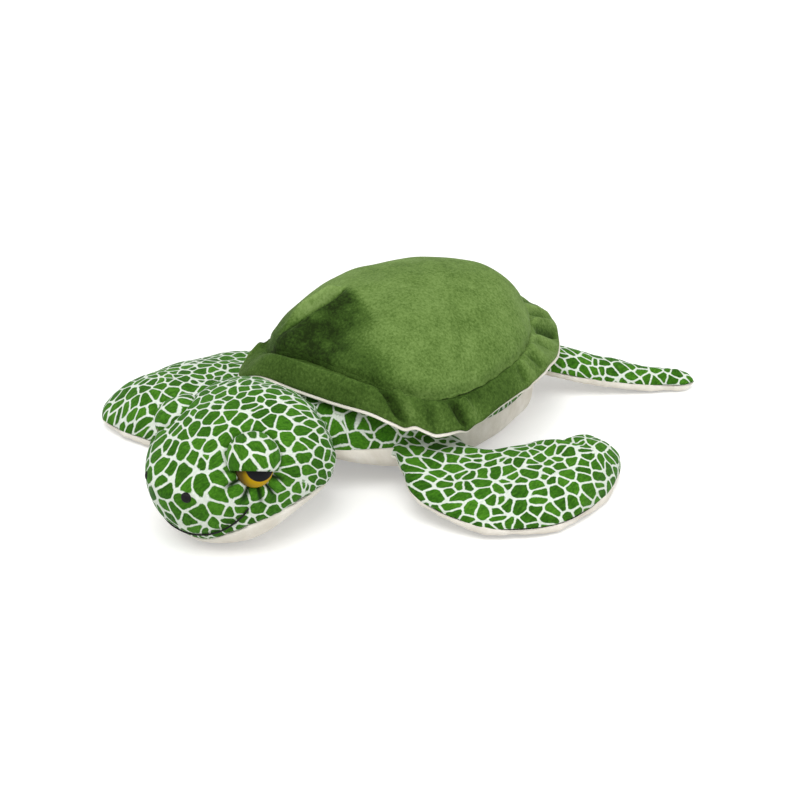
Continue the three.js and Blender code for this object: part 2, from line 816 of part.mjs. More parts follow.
// Meshes
function meshOf(name, solid, finish) {
  const material = new THREE.MeshStandardMaterial({ color: colours[finish], ...finishes[finish] });
  const mesh = new THREE.Mesh(geometryOf(solid), material);
  mesh.name = name;
  return mesh;
}

function torsoGroup() {
  const group = new THREE.Group();
  const cover = halfPanel(torsoForm, torsoRings, torsoSides / 2, true);
  const belly = halfPanel(torsoForm, torsoRings, torsoSides / 2, false);
  const filling = bodySolid(torsoForm, torsoRings, torsoSides, fillInset);
  group.add(meshOf("torso_cover", cover, "print"));
  group.add(meshOf("belly_panel", pressedFlat(belly), "cream"));
  group.add(meshOf("torso_filling", filling, "fibre"));
  return group;
}

function shellGroup() {
  const group = new THREE.Group();
  group.add(meshOf("shell_crown", crownPanel(), "velour"));
  group.add(meshOf("shell_filling", shellFilling(), "fibre"));
  group.add(meshOf("shell_rim", rimSolid, "velour"));
  group.add(meshOf("rim_lining", rimLiningSolid, "cream"));
  return group;
}

// A moving piece as it is cut by the torso, the rim and the floor.
function cutByBody(solid, hinge) {
  return pressedFlat(clearOverTravel(solid, [torsoKeepOut, rimKeepOut], hinge));
}

function flipperGroup({ name, form, hinge, rings, sides }) {
  const group = new THREE.Group();
  const top = cutByBody(halfPanel(form, rings, sides, true), hinge);
  const underside = cutByBody(halfPanel(form, rings, sides, false), hinge);
  const filling = cutByBody(bodySolid(form, rings, 2 * sides, fillInset), hinge);
  group.add(meshOf(`${name}_flipper_top`, top, "print"));
  group.add(meshOf(`${name}_flipper_underside`, underside, "cream"));
  group.add(meshOf(`${name}_flipper_filling`, filling, "fibre"));
  return group;
}

function eyeGroup(side, spot) {
  const group = new THREE.Group();
  group.add(meshOf(`eye_${side}`, eyeSolid(spot), "amber"));
  group.add(meshOf(`eye_washer_${side}`, eyeWasherSolid(spot), "washer"));
  group.add(meshOf(`eyelid_${side}`, eyelidSolid(spot), "print"));
  return group;
}

function headGroup() {
  const group = new THREE.Group();
  const leftEye = eyeSpot(radians(eyeAngle));
  const rightEye = eyeSpot(Math.PI - radians(eyeAngle));
  const cover = cutByBody(headSkin(), neckHinge)
    .subtract(chinOpening)
    .subtract(shankHole(leftEye))
    .subtract(shankHole(rightEye));
  const filling = cutByBody(bodySolid(headForm, headRings, headSides, fillInset), neckHinge)
    .subtract(chinKeepOut)
    .subtract(washerPocket(leftEye))
    .subtract(washerPocket(rightEye));
  group.add(meshOf("head_cover", cover, "print"));
  group.add(meshOf("chin_panel", cutByBody(chinPatch(0, [0, clothThickness]), neckHinge), "cream"));
  group.add(meshOf("head_filling", filling, "fibre"));
  group.add(eyeGroup("left", leftEye), eyeGroup("right", rightEye));
  group.add(meshOf("nostril_left", nostrilSolid(radians(nostrilAngle)), "black"));
  group.add(meshOf("nostril_right", nostrilSolid(Math.PI - radians(nostrilAngle)), "black"));
  group.add(meshOf("mouth_stitching", mouthSolid(), "black"));
  return group;
}

const turtle = new THREE.Group();
turtle.add(torsoGroup(), shellGroup(), headGroup(), ...flippers.map(flipperGroup));

export default turtle;
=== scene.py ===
"""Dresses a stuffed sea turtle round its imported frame, piece by piece as it is sewn together.

Sizes in the sections are millimetres, and become metres where a piece's mesh is made. Only the sizes in
materials are written in metres. The head points to -Y, the turtle's left side is +X and the floor is z = 0.
"""

import json
import math

import bmesh
import bpy
import numpy as np
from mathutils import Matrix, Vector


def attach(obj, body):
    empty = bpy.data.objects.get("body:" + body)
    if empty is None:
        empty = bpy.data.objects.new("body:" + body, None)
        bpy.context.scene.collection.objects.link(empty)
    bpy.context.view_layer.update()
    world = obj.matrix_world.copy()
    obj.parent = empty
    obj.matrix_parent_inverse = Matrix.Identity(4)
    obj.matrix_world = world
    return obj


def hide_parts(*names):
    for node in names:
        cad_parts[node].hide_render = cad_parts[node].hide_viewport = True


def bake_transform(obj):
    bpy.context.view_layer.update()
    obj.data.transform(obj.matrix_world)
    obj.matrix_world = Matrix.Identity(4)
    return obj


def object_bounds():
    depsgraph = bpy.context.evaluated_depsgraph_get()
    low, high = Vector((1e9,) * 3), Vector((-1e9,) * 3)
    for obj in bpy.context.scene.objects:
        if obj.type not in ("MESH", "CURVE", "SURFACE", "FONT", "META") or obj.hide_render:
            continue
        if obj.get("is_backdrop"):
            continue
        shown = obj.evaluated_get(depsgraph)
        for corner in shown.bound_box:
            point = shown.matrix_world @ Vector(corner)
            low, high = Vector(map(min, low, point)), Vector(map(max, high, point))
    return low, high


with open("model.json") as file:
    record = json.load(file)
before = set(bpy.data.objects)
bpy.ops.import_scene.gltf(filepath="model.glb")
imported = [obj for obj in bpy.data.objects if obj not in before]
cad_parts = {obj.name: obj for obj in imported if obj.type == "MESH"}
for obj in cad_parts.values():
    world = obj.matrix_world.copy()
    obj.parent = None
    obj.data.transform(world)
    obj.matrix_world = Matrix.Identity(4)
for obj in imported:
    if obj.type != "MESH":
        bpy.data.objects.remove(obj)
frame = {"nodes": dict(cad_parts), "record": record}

packed_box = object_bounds()
joints = {joint["name"]: joint for joint in frame["record"]["behaviour"]["joints"]}

# Camera: a long lens from in front of the turtle's left side and a little above it, as for a catalogue.
camera_turn = math.radians(36)
camera_height = math.radians(27)
camera_distance = 1.5
camera_target = np.array([0.0, 0.0, 0.06])
camera_shift = (0.0125, -0.04125)
camera_back = np.array(
    [
        math.sin(camera_turn) * math.cos(camera_height),
        -math.cos(camera_turn) * math.cos(camera_height),
        math.sin(camera_height),
    ]
)
lens = bpy.data.cameras.new("camera")
lens.lens = 85
lens.sensor_width = 36
lens.shift_x, lens.shift_y = camera_shift
camera = bpy.data.objects.new("camera", lens)
camera.location = camera_target + camera_distance * camera_back
camera.rotation_euler = (math.pi / 2 - camera_height, 0, camera_turn)
bpy.context.scene.collection.objects.link(camera)
bpy.context.scene.camera = camera

# Torso: a printed pile cloth over the back and sides and a cream one under the belly, sewn together
# along the sides and stuffed with fibre. The neck, the limbs and the shell are sewn to it.
torso_front = -106
torso_length = 246
torso_half_width = 84
torso_seam_height = 37
torso_rise = 47
rest_depth = 0.5
torso_width_shares = [0.54, 0.76, 0.94, 1.01, 1.0, 0.92, 0.78]
torso_rise_shares = [0.78, 0.92, 1, 1, 1, 0.92, 0.72]
torso_drop_shares = [0.36, 0.66, 0.96, 1, 1, 0.98, 0.72]
torso_round_shares = (0.24, 0.24)
torso_powers = (0.8, 0.48)
rear_seam_drop = 0.009
seam_width = 1.6
pucker_start, pucker_end = 2, 9
upward = np.array([0, 0, 1.0])


def eased(value, low, high):
    """A smooth step from 0 at low to 1 at high: three squares less two cubes of the share between them."""
    share = np.clip((value - low) / (high - low), 0, 1)
    return share * share * (3 - 2 * share)


def powered(value, power):
    """A power of the value's size, with the value's sign."""
    return np.sign(value) * np.abs(value) ** power


def bell(away, width=1.0):
    """A bell curve: 1 at no distance away, and 1/e at one width."""
    return np.exp(-((away / width) ** 2))


def stacked(*measures):
    """Measures along the rows, the columns or over all of a grid, as one array of its points."""
    return np.stack(np.broadcast_arrays(*measures), -1)


def listed(*grids):
    """The points of several grids, one after another."""
    return np.concatenate([grid.reshape(-1, 3) for grid in grids])


def through(shares):
    """A smooth curve through evenly spaced shares: cubics that take their slopes from the chords beside."""
    values = np.array(shares, float)
    slopes = np.gradient(values)
    last = len(values) - 1

    def share_at(place):
        where = np.clip(place, 0, 1) * last
        low = np.minimum(where.astype(int), last - 1)
        t = where - low
        start, end = values[low], values[low + 1]
        rise = end - start
        bend = slopes[low] + slopes[low + 1] - 2 * rise
        return start + t * (slopes[low] + t * (3 * rise - 2 * slopes[low] - slopes[low + 1] + t * bend))

    return share_at


def rounded(place, share, power=2):
    """How full a rounded end is: a quarter ellipse that is complete at the given share of the length.

    A power over 2 makes its corner fuller.
    """
    if share == 0:
        return np.ones_like(place)
    return (1 - np.clip(1 - place / share, 0, 1) ** power) ** (1 / power)


def stuffed_form(spine_at, length, half_width, heights, shares, round_shares, powers, start=0, tip_power=2):
    """A stuffed form: sections that swell and taper along a spine.

    A section's point stands half its width times a power of the angle's cosine to the side of the spine, and
    its rise or drop times the same power of the sine above or below it. The upper and the lower half have
    their own power: one under 1 is boxier than an ellipse, one over 1 thinner at the seam. Each end closes
    as a quarter ellipse.
    """
    trail_at, lead_at, rise_at, drop_at = [through(row) for row in shares]

    def point_at(place, angle, inset=0.0):
        first = inset if round_shares[0] else start
        distance = first + place * (length - first - inset)
        middle, across = spine_at(distance)
        share = distance / length if start else place
        ends = rounded(share, round_shares[0]) * rounded(1 - share, round_shares[1], tip_power)
        cosine, sine = np.cos(angle), np.sin(angle)
        power = np.where(sine >= 0, *powers)
        width = np.where(cosine >= 0, trail_at(share), lead_at(share))
        height = np.where(sine >= 0, heights[0] * rise_at(share), heights[1] * drop_at(share))
        sideways = (half_width * width - inset) * ends * powered(cosine, power)
        up = (height - inset) * ends * powered(sine, power)
        return middle + sideways[..., None] * across + up[..., None] * upward

    return point_at


def straight_spine(start, direction, turn, height):
    """A level line from a point on the body's middle, turned in plan, and the direction across it."""

    def spine_at(distance):
        distance = np.asarray(distance, float)
        x = direction * distance * math.sin(turn)
        y = start + direction * distance * math.cos(turn)
        across = np.array([math.cos(turn), -math.sin(turn), 0])
        return stacked(x, y, height), across

    return spine_at


def numbered(first, rows, columns, round_it=False, poles=(False, False)):
    """Numbers a grid's corners. A round grid ends on its first column, and a pole's row is one corner."""
    numbers = first + np.arange(rows * columns).reshape(rows, columns)
    if poles[0]:
        numbers[0] = numbers[0, 0]
    if poles[1]:
        numbers[-1] = numbers[-1, 0]
    return np.hstack([numbers, numbers[:, :1]]) if round_it else numbers


def sewn(name, points, grids, flat=None):
    """A sealed piece made of grids of corners, with its faces outward, and the numbers of the points it uses.

    Every cell of a grid is a face of four corners, or of three at a pole. flat is each point's place on the
    cloth before it was sewn, in metres, and becomes the piece's UV map.
    """
    cells = [np.stack([n[:-1, :-1], n[:-1, 1:], n[1:, 1:], n[1:, :-1]], -1).reshape(-1, 4) for n in grids]
    used, faces = np.unique(np.concatenate(cells), return_inverse=True)
    faces = faces.reshape(-1, 4)
    kept = faces != np.roll(faces, -1, axis=1)
    count = kept.sum(axis=1)
    whole = faces[count == 4].tolist()
    narrow = faces[count == 3][kept[count == 3]].reshape(-1, 3).tolist()
    mesh = bpy.data.meshes.new(name)
    mesh.from_pydata((points[used] * 0.001).tolist(), [], whole + narrow)
    if flat is not None:
        corners = np.empty(len(mesh.loops), int)
        mesh.loops.foreach_get("vertex_index", corners)
        mesh.uv_layers.new(name="cloth").data.foreach_set("uv", flat[used][corners].ravel())
    shape = bmesh.new()
    shape.from_mesh(mesh)
    bmesh.ops.recalc_face_normals(shape, faces=shape.faces[:])
    shape.to_mesh(mesh)
    shape.free()
    mesh.polygons.foreach_set("use_smooth", np.ones(len(mesh.polygons), bool))
    mesh.update()
    piece = bpy.data.objects.new(name, mesh)
    bpy.context.scene.collection.objects.link(piece)
    return piece, used


def places_of(piece):
    """A piece's points in millimetres."""
    places = np.empty(3 * len(piece.data.vertices))
    piece.data.vertices.foreach_get("co", places)
    return places.reshape(-1, 3) * 1000


def move_to(piece, places):
    """Puts a piece's points at places in millimetres, none of them under the floor."""
    places = places.copy()
    places[:, 2] = np.maximum(places[:, 2], 0)
    piece.data.vertices.foreach_set("co", (places * 0.001).ravel())
    piece.data.update()


def swell(piece, amounts):
    """Moves each point of a piece along the cloth's outward direction by its own amount in millimetres."""
    outward = np.empty(3 * len(piece.data.vertices))
    piece.data.vertex_normals.foreach_get("vector", outward)
    move_to(piece, places_of(piece) + amounts[:, None] * outward.reshape(-1, 3))


def lumps(points, size, seed):
    """Soft unevenness of stuffing, about -1 to 1: sine waves about size long in random directions, summed."""
    random = np.random.default_rng(seed)
    count = 14
    directions = random.normal(size=(count, 3))
    directions /= np.linalg.norm(directions, axis=1)[:, None] * size * random.uniform(0.7, 1.5, (count, 1))
    waves = np.sin(2 * math.pi * (points @ directions.T + random.uniform(0, 1, count)))
    return waves.sum(axis=-1) / math.sqrt(count)


def run_of(points, axis):
    """The length along the rows or columns of a grid, from its first point to each."""
    steps = np.linalg.norm(np.diff(points, axis=axis), axis=-1)
    start = np.zeros_like(np.take(steps, [0], axis=axis))
    return np.concatenate([start, np.cumsum(steps, axis=axis)], axis=axis)


def eased_steps(count, start_round, end_round):
    """Even steps from 0 to 1, closer together at a rounded end: a share of a cosine or sine wave."""
    even = np.linspace(0, 1, count)
    if start_round and end_round:
        return (1 - np.cos(math.pi * even)) / 2
    return np.sin(math.pi / 2 * even) if end_round else even


def half_turns(columns, power):
    """Angles over half a section, from seam to seam, that space its points about evenly for its power."""
    share = np.linspace(0, 1, columns)
    near = 2 * np.minimum(share, 1 - share)
    spread = near ** (1 / power)
    quarter = math.pi / 2 * spread / (spread + (1 - near) ** (1 / power))
    return np.where(share <= 0.5, quarter, math.pi - quarter)[None, :]


def half_form(name, outer, poles, flat):
    """Half of a stuffed form: its cloth face, and a flat face across the seams that closes it.

    Returns the piece, and for each of its points the distance to the nearer seam, the distance along the
    seam and 1 on the cloth face or 0 inside.
    """
    rows, columns = outer.shape[:2]
    fill = np.linspace(0, 1, 7)[1:-1]
    inner = outer[:, :1] * (1 - fill[:, None]) + outer[:, -1:] * fill[:, None]
    face = numbered(0, rows, columns, poles=poles)
    back = numbered(rows * columns, rows, len(fill), poles=poles)
    if poles[0]:
        back[0] = face[0, 0]
    if poles[1]:
        back[-1] = face[-1, 0]
    grids = [face, np.hstack([face[:, -1:], back[:, ::-1], face[:, :1]])]
    if not poles[0]:
        ring = np.hstack([face[0], back[0, ::-1]])
        points = listed(outer, inner, outer[0].mean(0))
        cap = np.stack([ring, np.full_like(ring, len(points) - 1)])
        grids.append(np.hstack([cap, cap[:, :1]]))
    else:
        points = listed(outer, inner)
    around = run_of(outer, 1)
    edge = np.minimum(around, around[:, -1:] - around).ravel()
    along = np.repeat(run_of(outer, 0)[:, columns // 2], columns)
    more = len(points) - len(edge)
    facts = [np.concatenate([row, np.zeros(more)]) for row in (edge, along, np.ones(len(edge)))]
    flat = np.concatenate([flat.reshape(-1, 2), np.zeros((more, 2))])
    piece, used = sewn(name, points, grids, flat)
    return (piece, *[row[used] for row in facts])


def seam_relief(edge, along, seed, groove=0.45, pucker=0.5, spacing=8.0):
    """Cloth drawn in at a seam: a groove as a bell curve, and puckers as waves along it.

    The waves' spacing wanders, and they rise and fade with the distance from the seam as exponentials.
    """
    wander = 1.6 * np.sin(along / 17 + seed) + 0.9 * np.sin(along / 7.3 + 2 * seed)
    waves = np.cos(2 * math.pi * along / spacing + wander)
    fading = np.exp(-edge / pucker_end) - np.exp(-edge / pucker_start)
    return -groove * bell(edge, seam_width) - pucker * (0.6 + waves) * fading


torso_point = stuffed_form(
    straight_spine(torso_front, 1, 0, torso_seam_height),
    torso_length,
    torso_half_width,
    (torso_rise, torso_seam_height + rest_depth),
    (torso_width_shares, torso_width_shares, torso_rise_shares, torso_drop_shares),
    torso_round_shares,
    torso_powers,
)


def dressed_torso(name, first_angle, power, seed):
    """The torso's upper or lower half: its form with lumps of stuffing, and seams drawn in along both sides.

    Along the rear half the seams run a little lower, a small angle under the form's widest line.
    """
    rows, columns = 150, 97
    place = eased_steps(rows, True, True)[:, None]
    lower = rear_seam_drop * eased(place, 0.42, 0.6) * (1 if first_angle == 0 else -1)
    angle = first_angle + half_turns(columns, power) * (1 + 2 * lower / math.pi) - lower
    outer = torso_point(place, angle)
    around = run_of(outer, 1)
    flat = stacked(run_of(outer, 0), around - around[:, columns // 2, None]) * 0.001
    piece, edge, along, face = half_form(name, outer, (True, True), flat)
    relief = seam_relief(edge, along, seed) + 0.7 * lumps(places_of(piece), 55, seed)
    swell(piece, face * relief)
    return piece


torso_cover = dressed_torso("torso_cover_cloth", 0, torso_powers[0], 3)
belly = dressed_torso("belly_cloth", math.pi, torso_powers[1], 4)


def linear(hex_colour):
    """A colour that is written as sRGB hex, as the renderer's linear values."""
    parts = [int(hex_colour[i : i + 2], 16) / 255 for i in (1, 3, 5)]
    return [c / 12.92 if c <= 0.04045 else ((c + 0.055) / 1.055) ** 2.4 for c in parts] + [1.0]


def add_node(material, kind, inputs=(), stops=None, **settings):
    """Adds a shader node with its settings, its inputs, and its colour stops as places and hex colours.

    An input is a value, a hex colour, an output, or a node, whose first output in use is taken.
    """
    node = material.node_tree.nodes.new("ShaderNode" + kind)
    for name, value in settings.items():
        setattr(node, name, value)
    if stops:
        elements = node.color_ramp.elements
        elements[0].position, elements[1].position = min(stops), max(stops)
        for place in sorted(stops)[1:-1]:
            elements.new(place)
        for element, place in zip(elements, sorted(stops)):
            element.color = linear(stops[place])
    for socket, value in dict(inputs).items():
        if isinstance(value, bpy.types.Node):
            value = next(output for output in value.outputs if output.enabled)
        if isinstance(value, bpy.types.NodeSocket):
            material.node_tree.links.new(value, node.inputs[socket])
        else:
            node.inputs[socket].default_value = linear(value) if isinstance(value, str) else value
    return node


def new_material(name):
    """A material with no nodes yet."""
    material = bpy.data.materials.new(name)
    material.use_nodes = True
    material.node_tree.nodes.clear()
    return material


def surfaced(material, look):
    """Ends a material with its shader, whose inputs are the look, and its output."""
    add_node(material, "OutputMaterial", {"Surface": add_node(material, "BsdfPrincipled", look)})
    return material


def pile_bump(material, vector, pile, depth, more=None):
    """Bump from a noise as fine as the pile's tufts, over an optional coarser height."""
    tufts = {"Vector": vector, "Scale": 1 / pile, "Detail": 3.0, "Roughness": 0.6}
    height = add_node(material, "TexNoise", tufts)
    if more is not None:
        height = add_node(material, "Math", {0: height, 1: more}, operation="ADD")
    return add_node(material, "Bump", {"Strength": 0.7, "Distance": depth, "Height": height})


# Short velboa pile, knitted polyester brushed and sheared, printed before it was cut. Rounded green cells
# lie between off-white veins that thicken where three of them meet, and the brushed pile has a cool sheen.
# The cells' borders wander by up to half of print_pull, and streak_width is drawn coarser than the tufts.
print_wander = 0.028
print_pull = 0.011
streak_width = 0.0016
print_blur = 0.014


def printed_pile(name, cell=0.0122, vein=0.065, corner=0.095, turn=0.0, dimensions="2D"):
    """The cell print: veins of one width along the borders of cells round random centres.

    Where the nearest centre is much farther than a smooth blend of them all, at a corner, the vein widens.
    cell is a cell's size in metres, and vein and corner are the widths of both as shares of it.
    """
    material = new_material(name)
    if dimensions == "2D":
        sewn_map = add_node(material, "UVMap", uv_map="cloth")
    else:
        sewn_map = add_node(material, "TexCoord").outputs["Object"]
    turned = add_node(material, "Mapping", {"Vector": sewn_map, "Rotation": (0, 0, turn)})
    wander = add_node(material, "TexNoise", {"Vector": turned, "Scale": 1 / print_wander, "Detail": 2.5})
    pulled = {0: wander.outputs["Color"], 1: (0.5, 0.5, 0.5)}
    pulled = add_node(material, "VectorMath", pulled, operation="SUBTRACT")
    pulled = add_node(material, "VectorMath", {0: pulled, 3: print_pull}, operation="SCALE")
    vector = add_node(material, "VectorMath", {0: turned, 1: pulled}, operation="ADD")
    cells = {"Vector": vector, "Scale": 1 / cell, "Randomness": 1.0}
    blend = {**cells, "Smoothness": 1.0}
    near, blended, border = [
        add_node(material, "TexVoronoi", inputs, voronoi_dimensions=dimensions, feature=feature)
        for feature, inputs in (("F1", cells), ("SMOOTH_F1", blend), ("DISTANCE_TO_EDGE", cells))
    ]
    ragged = add_node(material, "TexNoise", {"Vector": vector, "Scale": 1 / streak_width, "Detail": 2.0})
    ragged = add_node(material, "MapRange", {0: ragged, 1: 0.3, 2: 0.7, 3: -print_blur, 4: print_blur})
    gap = add_node(material, "Math", {0: near, 1: blended}, operation="SUBTRACT")
    gap = add_node(material, "Math", {0: gap, 1: ragged}, operation="ADD")
    corners = add_node(material, "MapRange", {0: gap, 1: corner - print_blur, 2: corner + print_blur})
    edge = add_node(material, "Math", {0: border, 1: ragged}, operation="SUBTRACT")
    borders = add_node(material, "MapRange", {0: edge, 1: vein + 0.02, 2: vein - 0.02})
    veins = add_node(material, "Math", {0: corners, 1: borders}, operation="MAXIMUM")
    streaks = add_node(material, "Mapping", {"Vector": vector, "Scale": (1, 0.4, 1)})
    streaks = {"Vector": streaks, "Scale": 1 / streak_width, "Detail": 3.0, "Roughness": 0.65}
    streaks = add_node(material, "TexNoise", streaks)
    tone = add_node(material, "SeparateColor", {0: near.outputs["Color"]})
    tone = add_node(material, "MapRange", {0: tone, 3: -0.14, 4: 0.14})
    tone = add_node(material, "Math", {0: streaks, 1: tone}, operation="ADD")
    greens = add_node(material, "ValToRGB", {0: tone}, {0.24: "#224e04", 0.5: "#366b0f", 0.76: "#4b851c"})
    dulled = add_node(material, "MapRange", {0: streaks, 1: 0.25, 2: 0.75})
    whites = add_node(material, "Mix", {"Factor": dulled, "A": "#c7d1c2", "B": "#e5ebe2"}, data_type="RGBA")
    colour = add_node(material, "Mix", {"Factor": veins, "A": greens, "B": whites}, data_type="RGBA")
    # Painted shade: where a piece's points carry it, as in the head's creases, the print is darkened to deep green.
    painted_crease_shade = add_node(material, "Attribute", attribute_name="nap_and_painted_shade").outputs["Fac"]
    colour = add_node(material, "Mix", {"Factor": painted_crease_shade, "A": colour, "B": "#16300c"}, data_type="RGBA")
    bump = pile_bump(material, turned, 0.0011, 0.0005, streaks)
    look = {"Base Color": colour, "Normal": bump, "Roughness": 0.85, "Specular IOR Level": 0.15}
    sheen = {"Sheen Weight": 0.09, "Sheen Roughness": 0.35, "Sheen Tint": "#d8f0ea"}
    return surfaced(material, {**look, **sheen})


# The same sheared pile undyed: a warm off-white with soft grey clouds where the pile has been brushed.
def cream_pile(name):
    """Clouds move the colour a little about its mean, and a finer noise raises the pile."""
    material = new_material(name)
    vector = add_node(material, "UVMap", uv_map="cloth")
    clouds = {"Vector": vector, "Scale": 1 / 0.022, "Detail": 5.0, "Roughness": 0.6}
    clouds = add_node(material, "TexNoise", clouds)
    tone = add_node(material, "MapRange", {0: clouds, 1: 0.32, 2: 0.68})
    creams = add_node(material, "Mix", {"Factor": tone, "A": "#dcd5c8", "B": "#f2ede4"}, data_type="RGBA")
    bump = pile_bump(material, vector, 0.0012, 0.0005)
    look = {"Base Color": creams, "Normal": bump, "Roughness": 0.9, "Specular IOR Level": 0.2}
    return surfaced(material, {**look, "Sheen Weight": 0.15, "Sheen Roughness": 0.4})


body_print = printed_pile("printed_velboa_body", cell=0.012, vein=0.06, corner=0.2, dimensions="3D")
cream_cloth = cream_pile("cream_velboa")
for piece, cloth, slot, nodes in (
    (torso_cover, body_print, "print_cloth", ["torso_cover", "torso_filling"]),
    (belly, cream_cloth, "cream_cloth", ["belly_panel"]),
):
    piece.data.materials.append(cloth)
    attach(piece, "torso")
    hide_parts(*nodes)

# Shell crown: one panel of green velour, drawn to a dome by a short dart at its front and stuffed from
# below. Its nap is brushed one way and shows dark where it lies the other way. Painted shade darkens the
# hollow below the dart and the front of its seam, and a painted highlight runs along the dart's ridge.
shell_centre = 25
crown_half_width = 95
crown_reaches = (107, 106)
crown_seam_height = 72
crown_lifts = (16, 9)
crown_rise = 60
crown_front_power = 0.58
crown_reach_power = 2.2
crown_dome_power = 0.74
crown_bowl_height = 85.4
front_right_corner = 4.0
# Two places where the stuffing stands proud: the middle of each, its radius and its height.
crown_bulges = (((30, 92, 108), 38, 8.5), ((-68, 22, 109), 32, 4.0))


def shell_outline(angle, side, front, rear):
    """An oval in plan: an ellipse at the tail end, and at the front a squarer one with blunt corners."""
    cosine, sine = np.cos(angle), np.sin(angle)
    power = np.where(sine < 0, crown_front_power, 1)
    end = np.where(sine < 0, crown_reaches[0] + front, crown_reaches[1] + rear)
    return (crown_half_width + side) * powered(cosine, power), shell_centre + end * powered(sine, power)


def full_turn(columns):
    """Even angles once round, along a grid's columns."""
    return np.linspace(0, 2 * math.pi, columns, endpoint=False)[None, :]


def wrapped(angle):
    """An angle as the same one within half a turn of 0."""
    return np.mod(angle + math.pi, 2 * math.pi) - math.pi


def at_angle(angle, middle, width):
    """A bell curve of the angle round the shell, 1 at its middle."""
    return bell(wrapped(angle - middle), width)


def crown_seam(angle):
    """The height of the crown's seam, which rises over the neck, the tail end and the left side's middle."""
    lift = np.where(np.sin(angle) < 0, crown_lifts[0], crown_lifts[1])
    drawn = 5 * at_angle(angle, 0.15, 0.5) - 4 * at_angle(angle, front_right_corner, 0.25)
    return crown_seam_height + lift * np.sin(angle) ** 2 + drawn


def crown_point(reach, angle):
    """The dome: its height falls from the top as a power of one less a power of the reach from the middle."""
    x, y = shell_outline(angle, 0, 0, 0)
    seam = crown_seam(angle)
    fullness = (1 - reach**crown_reach_power) ** crown_dome_power
    z = seam + (crown_seam_height + crown_rise - seam) * fullness
    return stacked(x * reach, shell_centre + (y - shell_centre) * reach, z)


# The dart takes up the cloth in front of the crown's top: below it the crown is hollow, its nap dark and its shade
# painted.
dart_peak = np.array([-30.0, -20.0])
dart_run = np.array([-0.461, -0.887])
dart_side = np.array([0.887, -0.461])
dart_start, dart_end = -6, 54


def from_dart(places):
    """How far places are along the dart from its peak, and how far to the hollow's side of it, in plan."""
    offset = places[:, :2] - dart_peak
    return offset @ dart_run, offset @ dart_side


def dart_relief(places):
    """A ridge along the dart, a crease beside it and a broad hollow below, each a bell curve."""
    along, aside = from_dart(places)
    held = eased(along, dart_start, 8) * eased(along, dart_end, 24)
    ridge = 6.5 * bell(aside + 12, 4.2) - 5.5 * bell(aside + 5.5, 3.4)
    hollow = 8.0 * np.exp(-(((along - 30) / 27) ** 2) - ((aside - 30) / 22) ** 2)
    return ridge * held - hollow


def nap_with_painted_shade(places, drop):
    """Nap and painted shade: about 1 in the hollow below the dart, less at the seam; under 0, painted highlight on
    the ridge.
    """
    along, aside = from_dart(places)
    # Dark nap and painted shade in the hollow below the dart.
    hollow_nap_and_shade = eased(aside, -8, -5) * eased(aside, 66, 16) * eased(along, -10, 2)
    # A painted highlight along the dart's ridge.
    painted_ridge_highlight = 0.4 * bell(aside + 13, 5) * eased(along, -6, 4) * eased(along, 50, 24)
    hollow_nap_and_shade = hollow_nap_and_shade * (1 + 0.3 * lumps(places, 24, 13))
    # Painted shade along the crown's seam, in front of the dart.
    seam = eased(drop, 42, 8) * eased(along, -8, 20)
    return np.clip(hollow_nap_and_shade + 0.6 * seam - painted_ridge_highlight, -0.4, 1.1)


def shade_points(piece, amounts):
    """Keeps a number per point that its material paints as dark nap and painted shade, and under 0 as painted
    highlight.
    """
    piece.data.attributes.new("nap_and_painted_shade", "FLOAT", "POINT").data.foreach_set("value", amounts)


def crown_cloth():
    """The dome and a shallow bowl under it, joined at the seam. Dart, lumps and seam move its points."""
    rows, columns = 110, 300
    reach = np.sin(math.pi / 2 * np.linspace(0, 1, rows))[:, None]
    angle = full_turn(columns)
    dome = crown_point(reach, angle)
    low_reach = np.linspace(0, 1, 8)[:-1, None]
    bowl = crown_point(low_reach, angle)
    seam = crown_seam(angle)
    bowl[..., 2] = seam + (crown_bowl_height - seam) * (1 - low_reach**2)
    face = numbered(0, rows, columns, True, (True, False))
    under = numbered(rows * columns, len(low_reach), columns, True, (True, False))
    points = listed(dome, bowl)
    piece, used = sewn("shell_crown_cloth", points, [face, np.vstack([under, face[-1:]])])
    on_dome = used < rows * columns
    short = 1 - np.repeat(reach, columns).take(used, mode="clip")
    drop = np.where(on_dome, run_of(dome, 0)[-1].mean() * short, 0)
    places = places_of(piece)
    relief = 1.2 * lumps(places, 75, 11) + 0.4 * lumps(places, 26, 12) + dart_relief(places)
    for centre, radius, height in crown_bulges:
        relief += height * bell(np.linalg.norm(places - np.array(centre), axis=1), radius)
    turn = np.arctan2(places[:, 1] - shell_centre, places[:, 0])
    front = eased(-np.sin(turn), 0.3, 0.9)
    relief -= (1.6 + 2.6 * front) * bell(drop, 2.5 + 3 * front)
    relief -= 0.5 * (1 + np.cos(41 * turn + 2 * np.sin(5 * turn))) * np.exp(-drop / 7)
    swell(piece, on_dome * relief)
    shade_points(piece, on_dome * nap_with_painted_shade(places, drop))
    return piece


crown = crown_cloth()
